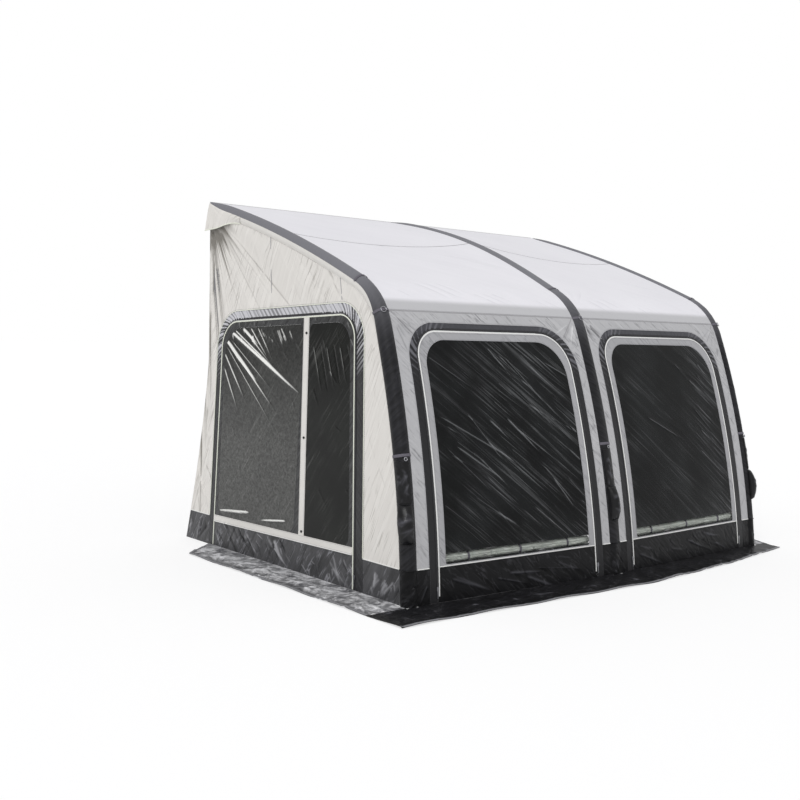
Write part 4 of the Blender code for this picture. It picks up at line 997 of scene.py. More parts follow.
def sleeveLoop(place, low, high, foot):
    # Piece of a sleeve between two lines down it: low and high give the a of each run
    runs = beamRows(beamLook["rowStep"])
    side = sleevePlace(place)
    out = []
    for edge in (low, high):
        a = edge(runs)
        z = side(a, runs, np.zeros(len(runs)))[:, 2]
        keep = z > foot + 0.012
        end = a[~keep][0] if (~keep).any() else a[-1]
        ends = wholeRun - foot + np.zeros(1)
        for _ in range(30):
            ends = ends + side(np.array([end]), ends, np.zeros(1))[:, 2] - foot
        out.append(np.column_stack([np.append(a[keep], end), np.append(runs[keep], ends)]))
    return np.concatenate([out[0], out[1][::-1]])


def stripeEdge(run):
    # Where the dark stripe gives way to cream round a corner sleeve
    share = np.clip((run - roofRun - beamLook["turnStart"]) / beamLook["turnRun"], 0, 1)
    low, high = beamLook["creamFrom"], beamLook["creamLeg"]
    return math.pi * sleeveRadius * (low + (high - low) * share * share * (3 - 2 * share))


def makeSleeve(word, place):
    foot = pipingHeight + gap
    lay = sleevePlace(place)
    whole = math.pi * sleeveRadius

    folds = creased(
        scatterFolds(41 + place, 90, (0.0 if place else -middleHalf, 1.9, whole if place else middleHalf, 4.0),
            60, 0.5, (0.05, 0.14), (0.003, 0.006), (0.0005, 0.0014)))
    if place:
        # Both corner sleeves are cut alike, from the bay edge round to the side wall
        laySleeve("sleeveStripe_" + word, sleeveLoop(place, lambda r: r * 0, stripeEdge, foot), lay,
            stripeCloth, ["beam_sleeve_" + word], folds)
        laySleeve("sleeveCream_" + word,
            sleeveLoop(place, lambda r: stripeEdge(r) + beamLook["stripeGap"], lambda r: r * 0 + whole, foot),
            lay, trimCloth, [], None)
    else:
        laySleeve("sleeveStripe_" + word,
            sleeveLoop(place, lambda r: r * 0 - middleHalf, lambda r: r * 0 + middleHalf, foot), lay,
            stripeCloth, ["beam_sleeve_" + word], folds)


def laySleeve(name, loop, place, material, replaced, folds):
    layCloth(name, loop, [], place, material, "awning", replaced, folds, step=0.016, edgeStep=0.03,
        fade=0.02)


for word, place in beams:
    makeTube(word, place)
    makeSleeve(word, place)
print("beams made")


# Front: roof, walls, arches, panels, film windows

opening = {"outerMargin": 0.095, "middleMargin": 0.075, "rise": 1.70, "roundL": 0.24, "roundR": 0.31,
    "bandSide": 0.066, "bandTop": 0.050, "zipGap": 0.002, "paneSide": 0.062, "paneTop": 0.062,
    "paneBottom": 0.222, "paneRound": 0.016, "hingeHeight": 0.0048}
skirtRise = float(wholeRun - levelRun(pipingHeight, 0.0))


def frontArch(side):
    low, high = (bayIn + opening["middleMargin"], bayOut - opening["outerMargin"]) if side > 0 else (
        opening["outerMargin"] - bayOut, -bayIn - opening["middleMargin"])
    return {"corners": [(low, 0.0), (low, opening["rise"]), (high, opening["rise"]), (high, 0.0)],
        "roundL": opening["roundL"], "roundR": opening["roundR"]}


def paneLoop(side, inset):
    corners = frontArch(side)["corners"]
    low = corners[0][0] + opening["bandSide"] + opening["paneSide"] + inset
    high = corners[3][0] - opening["bandSide"] - opening["paneSide"] - inset
    top = opening["rise"] - opening["bandTop"] - opening["paneTop"] - inset
    soft = opening["paneRound"] - inset
    return roundedLoop([(low, opening["paneBottom"] + inset, soft),
        (high, opening["paneBottom"] + inset, soft),
        (high, top, opening["roundR"] - opening["bandSide"] - inset),
        (low, top, opening["roundL"] - opening["bandSide"] - inset)])


def roofFolds(side):
    if side < 0:
        bundles = [
            parallelFolds((-1.42, 2.05), (0.050, 0.004), 7, -38, 0.36, 0.006, 0.0022),
            parallelFolds((-0.97, 1.96), (0.046, 0.002), 7, -28, 0.36, 0.006, 0.0020),
            parallelFolds((-0.68, 2.76), (0.045, -0.02), 9, -40, 0.78, 0.008, 0.0024),
            parallelFolds((-0.40, 1.93), (0.05, 0.0), 5, -32, 0.30, 0.006, 0.0018)]
    else:
        bundles = [
            parallelFolds((0.20, 1.96), (0.05, 0.006), 6, -38, 0.34, 0.006, 0.0022),
            parallelFolds((0.75, 1.92), (0.06, 0.0), 5, -34, 0.28, 0.006, 0.0016),
            parallelFolds((1.05, 2.50), (0.05, -0.02), 7, -40, 0.55, 0.008, 0.0018)]
    return creased(*bundles,
        scatterFolds(61 + side, 26, (side * 0.9 - 0.80, 1.95, side * 0.9 + 0.6, 3.6), -36, 0.35, (0.25, 0.8),
            (0.008, 0.014), (-0.0012, 0.0012)),
        fanFolds(67 + side, 9, (side * bayIn, 1.86), (100, 150) if side < 0 else (30, 80), (0.05, 0.12),
            (0.15, 0.5), (0.007, 0.012), (-0.002, 0.002)),
        scatterFolds(71 + side, 40, (side * 0.9 - 0.8, 1.80, side * 0.9 + 0.7, 1.96), -42, 0.25, (0.08, 0.24),
            (0.004, 0.007), (-0.0018, 0.0018)))


def frontFolds(side):
    low, high = sorted((side * bayIn, side * bayOut))
    return creased(
        scatterFolds(81 + side, 260, (low - 0.1, 0.25, high, 1.78), -46, 0.18, (0.05, 0.22), (0.003, 0.005),
            (-0.0046, 0.0020)),
        fanFolds(91 + side, 12, (low, 1.76), (-75, -20), (0.03, 0.10), (0.10, 0.30), (0.005, 0.009),
            (-0.004, 0.004)),
        fanFolds(95 + side, 12, (high, 1.76), (200, 255), (0.03, 0.10), (0.10, 0.30), (0.005, 0.009),
            (-0.004, 0.004)),
        scatterFolds(99 + side, 60, (low, 0.30, low + 0.10, 1.60), -52, 0.3, (0.05, 0.13), (0.003, 0.006),
            (-0.003, 0.003)),
        scatterFolds(103 + side, 60, (high - 0.10, 0.30, high, 1.60), -128, 0.3, (0.05, 0.13), (0.003, 0.006),
            (-0.003, 0.003)))


def skirtFolds(rows):
    # Folds die out towards the hinge, so a skirt clears the flap when its panel opens
    def height(spots):
        total = foldRows(spots, rows)
        return total * np.clip(spots[:, 1] / 0.12, 0, 1), total / foldUnit
    height.rows = rows
    return height


def archFolds(line, seed, pitch, height, lean=0.5, quiet=0.0, topSheenTint=0.0, edge=1.0):
    # Gathers across an arch: strongest round its corners, and flat by the edge where its zip slider runs up
    line = np.asarray(line, float)
    length = np.concatenate([[0], np.cumsum(np.linalg.norm(np.diff(line, axis=0), axis=1))])
    rng = np.random.default_rng(seed)
    waves = rng.random((6, 2))

    def folds(spots):
        near = np.linalg.norm(spots[:, None] - line[None], axis=2)
        at = near.argmin(1)
        a, b = line[np.maximum(at - 1, 0)], line[np.minimum(at + 1, len(line) - 1)]
        heading = (b - a) / np.linalg.norm(b - a, axis=1)[:, None]
        offset = spots - line[at]
        along = length[at] + (offset * heading).sum(1)
        aside = offset[:, 0] * heading[:, 1] - offset[:, 1] * heading[:, 0]
        turnNear = np.zeros(len(spots))
        for centre in cornersOf(line, length):
            turnNear = np.maximum(turnNear, np.exp(-((along - centre) / 0.30) ** 2))
        phase = (along + lean * aside) / pitch * 2 * math.pi
        wobble = sum(np.sin(phase * (0.31 + 0.7 * f) + 6.3 * o) for f, o in waves) / 3
        crest = np.clip(0.5 + 0.5 * np.sin(phase + 1.6 * wobble), 0, 1) ** 1.5
        first, last = cornersOf(line, length)
        over = np.clip((along - first) / 0.15, 0, 1) * np.clip((last - along) / 0.15, 0, 1)
        # The tint paints highlights on the gathers' crests, brightest round the corners, and a painted sheen
        # along the top
        tint = crest * (0.12 + 1.15 * turnNear) + over * topSheenTint * (0.75 + 0.35 * np.sin(phase * 0.7 + wobble))
        run = np.where(along < first, np.clip((edge - 0.018 - aside) / 0.012, 0, 1), 1.0)
        return height * (quiet + (1 - quiet) * turnNear) * crest * run, tint
    return folds


def cornersOf(line, length):
    heading = np.arctan2(np.diff(line[:, 1]), np.diff(line[:, 0]))
    turning = np.abs(np.diff(np.unwrap(heading)))
    middle = (length[1:-1] * turning).sum() / max(turning.sum(), 1e-9)
    first, second = length[1:-1] < middle, length[1:-1] >= middle
    return [float((length[1:-1][part] * turning[part]).sum() / turning[part].sum()) for part in (first, second)]


# Cords lie on a seam: radius, sides, rise and flatness of the section; stitches run beside an edge
cordLook = {"panel": (0.0044, 10, 0.0002, 0.52), "door": (0.0044, 10, 0.0002, 0.75),
    "edge": (0.0034, 8, 0.001, 0.8), "arch": (0.0024, 8, 0.001, 0.8), "sill": (0.0030, 8, 0.001, 0.8),
    "inset": 0.0055, "rearInset": 0.0105, "panelFoot": 0.036, "panelEnd": 0.012, "stitchIn": 0.006,
    "panelStitchIn": 0.016, "stitchFoot": 0.03}
stitchIn, stitchFoot = cordLook["stitchIn"], cordLook["stitchFoot"]
frontBand = (opening["bandSide"], opening["bandTop"], opening["bandSide"])
panelInset = tuple(each + opening["zipGap"] for each in frontBand)
hinge = opening["hingeHeight"]


def addCord(shape, place, line, kind, lift=0.0012, step=0.02):
    path, ups = pathOn(place, line, step, lift)
    addSweep(shape, path, ups, roundProfile(*cordLook[kind]))


wallPipes = newShape()
for word, side in sides:
    low, high = sorted((side * bayIn, side * bayOut))
    seam, top = awning["seamRise"], wholeRun
    layCloth("roofCloth_" + word, [(low, seam), (high, seam), (high, top), (low, top)], [], frontPlace,
        roofCloth, "awning", ["roof_" + word], roofFolds(side), step=0.016, edgeStep=0.02)
    arch = frontArch(side)
    foot = skirtRise + 2 * gap
    wallLoop = np.concatenate([[(low, foot), (low, seam - gap), (high, seam - gap), (high, foot)],
        archLine(arch, -gap, foot)[::-1]])
    layCloth("frontWallCloth_" + word, wallLoop, [], frontPlace, frontCloth, "awning",
        ["front_wall_" + word], frontFolds(side), step=0.009, edgeStep=0.012, fade=0.02)
    bandLoop = np.concatenate([archLine(arch, 0, hinge), archLine(arch, frontBand, hinge)[::-1]])
    centre = archLine(arch, np.array(frontBand) / 2, 0.0)
    layCloth("frontArchBand_" + word, bandLoop, [], frontPlace, charcoalCloth, "awning",
        ["front_band_" + word], archFolds(centre, 7, 0.045, 0.004, 0.8, 0.15), step=0.009, fade=0.012)
    body = "front_panel_" + word
    border = archLine(arch, panelInset, skirtRise + gap / 2)
    borderFolds = creased(
        scatterFolds(17, 160, (low, 0.2, high, 1.7), -50, 0.3, (0.03, 0.07), (0.003, 0.005),
            (-0.0022, 0.0014)), sharp=0.5)
    layCloth("panelBorder_" + word, border, [paneLoop(side, 0.0)], frontPlace, borderCloth, body,
        ["front_panel_" + word], borderFolds, step=0.009, fade=0.01)
    left, right = border[0][0], border[-1][0]
    skirtTop = skirtRise - gap / 2
    skirtRows = np.concatenate([
        scatterFolds(23 + side, 14, (left, 0.08, right - 0.2, 0.20), -14, 0.2, (0.18, 0.5), (0.006, 0.012),
            (-0.005, 0.006)),
        scatterFolds(27 + side, 40, (left, 0.02, right, 0.2), -50, 0.5, (0.05, 0.14), (0.003, 0.006),
            (-0.003, 0.004))])
    layCloth("panelSkirt_" + word, [(left, hinge), (right, hinge), (right, skirtTop), (left, skirtTop)], [],
        frontPlace, blackPvc, body, [], skirtFolds(skirtRows), step=0.009, fade=0.025)
    # The left window is the more creased one
    long, short, inward = (30, 60, 0.45) if side < 0 else (8, 24, 0.95)
    filmFolds = creased(
        scatterFolds(31 + side, long, (low, 0.45, high - 0.2, 1.58), -33, 0.16, (0.35, 0.9), (0.004, 0.007),
            (0.0010, 0.0045)),
        scatterFolds(35 + side, short, (low + inward, 0.5, high - 0.1, 1.58), -42, 0.14, (0.15, 0.55),
            (0.003, 0.005), (0.0008, 0.0050)), sharp=0.75)
    layCloth("filmWindow_" + word, paneLoop(side, gap), [], frontPlace, frontFilm, body,
        ["front_window_" + word], filmFolds, step=0.0085, edgeStep=0.008, fade=0.02, thick=filmThick)
    # White piping round the panel and over its skirt, and the seam round the film
    pipe = newShape()
    addCord(pipe, frontPlace, archLine(arch, panelInset, hinge + cordLook["panelFoot"], cordLook["inset"]),
        "panel", 0.0003)
    over = cordLook["panelEnd"]
    addCord(pipe, frontPlace, [(left + over, skirtRise), (right - over, skirtRise)], "edge", step=0.03)
    dress(makePiece("panelPiping_" + word, pipe, pipingPvc), body)
    stitch(body, frontPlace, paneLoop(side, -stitchIn), True)
    stitch(body, frontPlace, archLine(arch, panelInset, skirtRise + 0.01, cordLook["panelStitchIn"]))
    stitch("awning", frontPlace, archLine(arch, stitchIn, stitchFoot), slot="charcoal_polyester")
    stitch("awning", frontPlace, archLine(arch, -stitchIn, foot + 0.01))
print("front made")


# Sides: wall, arch, door with its two film windows

door = {"rearSet": 0.32, "frontSet": 0.42, "lean": 0.130, "riseRear": 1.682, "riseFront": 1.773,
    "roundRear": 0.26, "roundFront": 0.24, "bandRear": 0.050, "bandFront": 0.090, "bandTop": 0.070,
    "postShare": 0.398, "postWidth": 0.072, "paneBorder": 0.050, "paneBottom": 0.235, "paneRound": 0.09,
    "waist": 1.35, "waistIn": 0.082, "tail": 0.12, "postShown": 0.060, "postLean": 0.042, "postTop": 1.66,
    "postSet": 0.005, "postLift": 0.0024, "postStitch": 0.0028, "sill": (0.2046, 0.2512), "sillSlope": 0.0233,
    "sillLift": 0.0046, "wallFold": 0.004, "fanPitch": slope(14)}
rearY = railY + door["tail"]
doorRear, doorFront = rearY - door["rearSet"], footY + door["frontSet"]
postY = doorFront + (doorRear - doorFront) * door["postShare"]
sideArch = {"corners": [(doorFront, 0.0), (doorFront + door["lean"], door["riseFront"]),
    (doorRear, door["riseRear"]), (doorRear, 0.0)], "roundL": door["roundFront"], "roundR": door["roundRear"]}


def underSleeve(run):
    (y, z), (ny, nz) = onLine(run), facing(run)
    depth = cornerSet(run) + gap
    return np.stack([y - ny * depth, z - nz * depth], -1)


def rearEdge(z):
    high = railY - door["waistIn"] * (1 - (z - door["waist"]) / (railHeight - door["waist"]))
    low = railY - door["waistIn"] + (door["waistIn"] + door["tail"]) * np.maximum(1 - z / door["waist"],
        0) ** 1.5
    return np.where(z > door["waist"], high, low)


def sidePane(front, inset):
    border = opening["zipGap"] + door["paneBorder"] + inset
    lines = insetLines(sideArch, [door[each] + border for each in ("bandFront", "bandTop", "bandRear")])
    foot = door["paneBottom"] + inset
    edge = postY + (-1 if front else 1) * (door["postWidth"] / 2 + inset)
    leg = lines[0] if front else lines[2]
    low = crossing(*leg, Vector((0, foot)), Vector((1, 0)))
    high, postHigh = crossing(*leg, *lines[1]), crossing(*lines[1], Vector((edge, 0)), Vector((0, 1)))
    soft = door["paneRound"] - inset
    bend = (door["roundFront"] - door["bandFront"] if front else door["roundRear"] - door["bandRear"]) - inset
    corners = [(*low, soft), (*high, bend), (*postHigh, soft / 2), (edge, foot, soft)]
    return roundedLoop(corners if front else corners[::-1])


def legAt(inset, which, level):
    line = insetLines(sideArch, (inset, door["bandTop"], inset))[0 if which == "front" else 2]
    return crossing(*line, Vector((0, level)), Vector((1, 0)))[0]


def wallRipple(y, z):
    # Broad folds fanning down from the rear top corner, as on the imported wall
    near = np.minimum(np.hypot(railY - y, railHeight - z) / railHeight, 1)
    wave = (1 - np.cos(2 * math.pi * np.arctan2(railY - y, railHeight - z) / door["fanPitch"])) / 2
    return door["wallFold"] * wave * 4 * near * (1 - near)


def sideWallFolds(side):
    # Both walls are drawn alike: folds fan out from the rail corner and hang down the rear edge
    corner = (railY + 0.02, 2.46)
    rows = np.concatenate([
        fanFolds(101 + side, 54, corner, (212, 262), (0.16, 0.46), (0.4, 1.5), (0.003, 0.006),
            (-0.0055, 0.002)),
        fanFolds(105 + side, 20, corner, (250, 268), (0.22, 0.45), (1.0, 2.0), (0.004, 0.008), (-0.010, 0.005)),
        fanFolds(106 + side, 15, corner, (226, 266), (0.16, 0.28), (0.2, 0.55), (0.003, 0.007),
            (-0.011, -0.004)),
        scatterFolds(107 + side, 26, (1.20, 0.9, 1.33, 2.1), 268, 0.05, (0.4, 1.0), (0.004, 0.008),
            (-0.010, 0.005)),
        scatterFolds(109 + side, 60, (-0.75, 1.85, 0.85, 2.35), 230, 0.16, (0.20, 0.55), (0.004, 0.009),
            (-0.004, 0.004)),
        scatterFolds(113 + side, 34, (-1.02, 0.3, -0.62, 1.6), 236, 0.12, (0.10, 0.30), (0.003, 0.006),
            (-0.002, 0.002)),
        scatterFolds(117 + side, 22, (1.14, 0.25, 1.44, 0.9), 240, 0.30, (0.12, 0.35), (0.007, 0.012),
            (-0.008, 0.008))])
    hung = creased(rows, extra=lambda spots: wallRipple(spots[:, 0], spots[:, 1]))

    def height(spots):
        # Painted shadow of the hood on the cloth just below it, drawn with the groove colour
        total = hung(spots)
        shade = np.exp(-((corner[0] - 0.10 - spots[:, 0]) / 0.22) ** 2 - ((2.27 - spots[:, 1]) / 0.10) ** 2)
        return total, total / foldUnit - 1.5 * shade
    height.rows = rows
    return height


doorBand = (door["bandFront"], door["bandTop"], door["bandRear"])
doorInset = tuple(each + opening["zipGap"] for each in doorBand)
# Straight creases in the rear side window, which the tight film keeps, their crests painted as pale highlight
# streaks: columns as foldRows reads them
rearStreaks = np.array([(1.07, 1.595, slope(204), 1.15, 0.008, 0.015),
    (1.10, 1.537, slope(213.5), 0.60, 0.008, 0.015), (0.95, 1.652, slope(209), 0.42, 0.007, 0.012),
    (1.04, 1.51, slope(216), 0.85, 0.005, 0.010), (1.00, 1.60, slope(206), 0.80, 0.004, 0.009),
    (1.09, 1.45, slope(228), 0.55, 0.005, 0.008), (1.09, 1.37, slope(236), 0.50, 0.005, 0.007),
    (0.84, 1.60, slope(214), 0.50, 0.004, 0.008), (0.76, 1.62, slope(222), 0.40, 0.004, 0.008),
    (0.66, 1.62, slope(228), 0.34, 0.004, 0.007), (1.05, 1.47, slope(220), 0.95, 0.003, 0.006),
    (0.98, 1.50, slope(211), 0.70, 0.003, 0.006)])
footStreaks = np.array([(0.62, 0.306, slope(-5.6), 0.46, 0.006, 0.016),
    (0.18, 0.314, slope(-7.4), 0.33, 0.005, 0.014), (0.70, 0.292, slope(-3.0), 0.22, 0.004, 0.010)])


def postAt(z):
    # The post leans a little, as the cloth hangs
    return postY + door["postSet"] - door["postLean"] * (door["postTop"] - z)


def sillAt(y, top):
    # The sill rises to the front
    return door["sill"][1 if top else 0] - door["sillSlope"] * y


for word, side in sides:
    lay = sidePlace(side)
    foot = pipingHeight + gap
    frontRun = float(levelRun(foot, -cornerSet(wholeRun) - gap))
    rows = beamRows(beamLook["rowStep"])
    topEdge = underSleeve(np.append(rows[rows < frontRun - 0.02], frontRun)[::-1])
    levels = np.linspace(topEdge[-1][1] - 0.03, foot, 70)
    wallLoop = np.concatenate([topEdge, np.column_stack([rearEdge(levels), levels]),
        archLine(sideArch, -gap, foot)[::-1]])
    layCloth("sideWallCloth_" + word, wallLoop, [], lay, creamCloth, "awning",
        ["side_wall_" + word], sideWallFolds(side), step=0.012, edgeStep=0.012, fade=0.03)
    bandLoop = np.concatenate([archLine(sideArch, 0, hinge), archLine(sideArch, doorBand, hinge)[::-1]])
    centre = archLine(sideArch, np.array(doorBand) / 2, 0.0)
    layCloth("sideArchBand_" + word, bandLoop, [], lay, ruchedCloth, "awning",
        ["side_band_" + word], archFolds(centre, 5, 0.032, 0.009, 0.9, 0.10, 1.05, door["bandFront"] / 2),
        step=0.0065, edgeStep=0.008, fade=0.014)
    edging = newShape()
    addCord(edging, lay, archLine(sideArch, 0.0015, 0.215), "arch")
    dress(makePiece("archEdging_" + word, edging, limeTrim), "awning")
    body = "side_door_" + word
    doorFolds = creased(
        scatterFolds(131, 90, (doorFront, 0.3, doorRear, 1.7), 232, 0.3, (0.04, 0.12), (0.003, 0.006),
            (0.001, 0.003)), sharp=0.5)
    layCloth("doorCloth_" + word, archLine(sideArch, doorInset, pipingHeight + gap / 2),
        [sidePane(True, 0.0), sidePane(False, 0.0)], lay, filmEdgeCloth, body,
        ["side_door_" + word], doorFolds, step=0.010, fade=0.012)
    rearIn, skirtTop = legAt(doorInset[2], "rear", 0.1), pipingHeight - gap / 2
    skirtLoop = [(legAt(doorInset[0], "front", hinge), hinge), (rearIn, hinge), (rearIn, skirtTop),
        (legAt(doorInset[0], "front", pipingHeight), skirtTop)]
    skirtRows = np.concatenate([
        scatterFolds(137 + side, 34, (doorFront, 0.10, doorRear, 0.21), 228, 0.30, (0.10, 0.24),
            (0.006, 0.012), (-0.008, 0.008)),
        scatterFolds(139 + side, 70, (doorFront, 0.02, doorRear, 0.2), 235, 0.6, (0.04, 0.12), (0.003, 0.006),
            (-0.003, 0.005))])
    layCloth("doorSkirt_" + word, skirtLoop, [], lay, sheenPvc, body, [],
        skirtFolds(skirtRows), step=0.009, fade=0.025)
    for kind, front in (("Front", True), ("Rear", False)):
        folds = creased(
            parallelFolds((-0.02, 1.50), (-0.07, 0.0), 7, 250, 0.34, 0.004, 0.0035) if front else rearStreaks,
            scatterFolds(161 + front, 26, (doorFront + 0.1, 0.3, doorRear, 1.6), 232, 0.5, (0.06, 0.2),
                (0.003, 0.006), (0.0004, 0.0030)),
            scatterFolds(171 + front, 22, (0.15, 1.50, doorRear, 1.6), 238, 0.25, (0.05, 0.14), (0.004, 0.008),
                (0.002, 0.006)), footStreaks, sharp=0.75)
        layCloth("filmWindow" + kind + "_" + word, sidePane(front, gap), [], lay, sideFilm, body,
            ["side_window_" + kind.lower() + "_" + word], folds, step=0.0085, edgeStep=0.008, fade=0.02,
            thick=filmThick, foldScale=0.007)
    # Post and sill strips over the door, with their stitches and piping
    wide, topZ, postFoot = door["postShown"] / 2, door["postTop"], door["sill"][1] - 0.01
    layCloth("doorPost_" + word,
        [(postAt(postFoot) - wide, postFoot), (postAt(postFoot) + wide, postFoot), (postAt(topZ) + wide, topZ),
            (postAt(topZ) - wide, topZ)], [], lay, trimCloth, body, [], None, step=0.014,
        edgeStep=0.014, lift=door["postLift"])
    frontIn, sillEnd = legAt(doorInset[0] + 0.01, "front", 0.23), rearIn - 0.01
    sillFolds = creased(
        scatterFolds(181, 26, (doorFront, 0.18, doorRear, 0.25), 200, 0.5, (0.05, 0.15), (0.005, 0.008),
            (-0.002, 0.003)))
    layCloth("doorSill_" + word,
        [(frontIn, sillAt(frontIn, False)), (sillEnd, sillAt(rearIn, False)), (sillEnd, sillAt(rearIn, True)),
            (frontIn, sillAt(frontIn, True))], [], lay, trimCloth, body, [], sillFolds,
        step=0.012, edgeStep=0.014, fade=0.012, lift=door["sillLift"])
    pipe, sillPipe = newShape(), newShape()
    inset, rearInset = cordLook["inset"], cordLook["rearInset"]
    addCord(pipe, lay, archLine(sideArch, doorInset, hinge + 0.004, (inset, inset, rearInset)), "door", 0.0008)
    dress(makePiece("doorPiping_" + word, pipe, limeTrim), body)
    for front in (True, False):
        stitch(body, lay, sidePane(front, -stitchIn), True, slot="charcoal_polyester")
    for offset in (-wide + 0.005, wide - 0.005):
        stitch(body, lay, [(postAt(0.28) + offset, 0.28), (postAt(topZ - 0.01) + offset, topZ - 0.01)],
            lift=door["postStitch"], slot="side_polyester")
    for top, aside in ((False, 0.005), (True, -0.005)):
        stitch(body, lay, [(frontIn + 0.01, sillAt(frontIn, top) + aside),
            (rearIn - 0.02, sillAt(rearIn, top) + aside)], lift=0.005, slot="side_polyester")
    addCord(sillPipe, lay, [(frontIn + 0.004, sillAt(frontIn, False)),
        (rearIn - 0.014, sillAt(rearIn, False))], "sill", door["sillLift"])
    dress(makePiece("sillPiping_" + word, sillPipe, pipingPvc), body)
    stitch("awning", lay, archLine(sideArch, stitchIn, stitchFoot), slot="charcoal_polyester")
    stitch("awning", lay, archLine(sideArch, -stitchIn, postFoot + 0.02), slot="side_polyester")
print("sides made")


# Lower wall, its white piping, and the ground flap

lower = {"foot": 0.001, "foldHeight": (-0.006, 0.007), "flapThick": 0.0022, "hemThick": 0.0018,
    "hemLift": 0.0004, "flapWidth": 0.31, "flapCloth": 0.004, "flapTuck": 0.010, "cutBack": 0.26,
    "hemWide": 0.020, "wave": 0.008, "waveLength": 0.55, "crumples": 420, "reach": 2.2, "turn": 3.0,
    "tintHigh": 0.012, "calm": 0.35, "bendRight": (1.00, 0.276), "cornerRight": (1.87, 0.18),
    "startRight": 1.94, "spreadRight": 0.55}


def cornerWrap(side):
    # Place for the lower corner: s runs from the front arch round the beam to the side arch
    front = opening["outerMargin"] - gap
    arc = math.pi * sleeveRadius
    arcEnd = beamLevel(side, 0.1, -math.pi / 4, sleeveRadius)[1]
    total = front + arc + doorFront - gap - arcEnd

    def place(s, level, depth):
        angle = math.pi * 3 / 4 - np.clip((s - front) / arc, 0, 1) * math.pi
        ahead = frontLevelPlace(side * (bayOut - front + np.clip(s, 0, front)), level, depth)
        turned = beamLevel(side, level, angle, sleeveRadius - depth)
        edge = doorFront + door["lean"] * level / door["riseFront"] - gap
        share = np.clip((s - front - arc) / (total - front - arc), 0, 1)
        start = beamLevel(side, level, np.full(len(s), -math.pi / 4), sleeveRadius)[:, 1]
        beside = sidePlace(side)(start + (edge - start) * share, level, depth)
        return np.where((s < front)[:, None], ahead, np.where((s > front + arc)[:, None], beside, turned))
    return place, front, front + beamLook["creamLeg"] * arc, total


def middleWrap():
    edge = bayIn + opening["middleMargin"] - gap

    def place(s, level, depth):
        share = np.clip(s / middleHalf, -1, 1)
        ahead = frontLevelPlace(np.where(np.abs(s) < bayIn, np.sign(s + 1e-9) * bayIn, s), level, depth)
        return np.where((np.abs(s) > middleHalf)[:, None], ahead, crownLevel(share, level, -depth))
    return place, edge


def lowerFolds(seed, low, high):
    return creased(
        scatterFolds(seed, int(16 * (high - low) / 0.5), (low, 0.08, high, 0.2), -60, 0.4, (0.08, 0.2),
            (0.005, 0.010), lower["foldHeight"]),
        scatterFolds(seed + 1, int(34 * (high - low) / 0.5), (low, 0.02, high, 0.2), -80, 0.8, (0.04, 0.1),
            (0.003, 0.006), (-0.003, 0.004)))


def edgePipe(shape, place, start, end):
    addCord(shape, place, [(start, topLevel), (end, topLevel)], "edge", step=0.012)


topLevel = pipingHeight - gap
darkPipes = newShape()
for word, side in sides:
    # Round the beam the wall and its edge are black, as the stripe above is
    place, front, turned, total = cornerWrap(side)
    for part, start, end, material in (("Front", 0, turned, blackPvc), ("Side", turned, total, sheenPvc)):
        layCloth("lowerCorner" + part + "_" + word,
            [(start, lower["foot"]), (end, lower["foot"]), (end, topLevel), (start, topLevel)], [], place,
            material, "awning", ["lower_wall_corner_" + word] if start == 0 else [],
            lowerFolds(201 + side, start, end), step=0.010, edgeStep=0.010, fade=0.02)
    edgePipe(wallPipes, place, 0.002, front)
    edgePipe(darkPipes, place, front + 0.001, turned - 0.001)
    edgePipe(wallPipes, place, turned, total - 0.002)
    levels = np.linspace(topLevel, lower["foot"], 20)
    rearLoop = np.concatenate([np.column_stack([np.full(20, doorRear + gap), levels]),
        np.column_stack([rearEdge(levels[::-1]), levels[::-1]])])
    layCloth("lowerRearWall_" + word, rearLoop, [], sidePlace(side), sheenPvc, "awning",
        ["lower_wall_rear_" + word], lowerFolds(211 + side, 1.15, 1.45), step=0.010, edgeStep=0.010, fade=0.02)
    edgePipe(wallPipes, sidePlace(side), doorRear + 0.003, float(rearEdge(np.array(topLevel))) - 0.003)
place, edge = middleWrap()
layCloth("lowerMiddleWall",
    [(-edge, lower["foot"]), (edge, lower["foot"]), (edge, topLevel), (-edge, topLevel)], [], place, blackPvc,
    "awning", ["lower_wall_middle"], lowerFolds(221, -edge, edge), step=0.010,
    edgeStep=0.010, fade=0.02)
edgePipe(wallPipes, place, -edge + 0.002, -middleHalf)
edgePipe(darkPipes, place, -middleHalf + 0.001, middleHalf - 0.001)
edgePipe(wallPipes, place, middleHalf, edge - 0.002)
dress(makePiece("wallPiping", wallPipes, pipingPvc), "awning")
dress(makePiece("wallPipingDark", darkPipes, blackPvc), "awning")

sleeveBump = sleeveRadius * (1 - tuck)


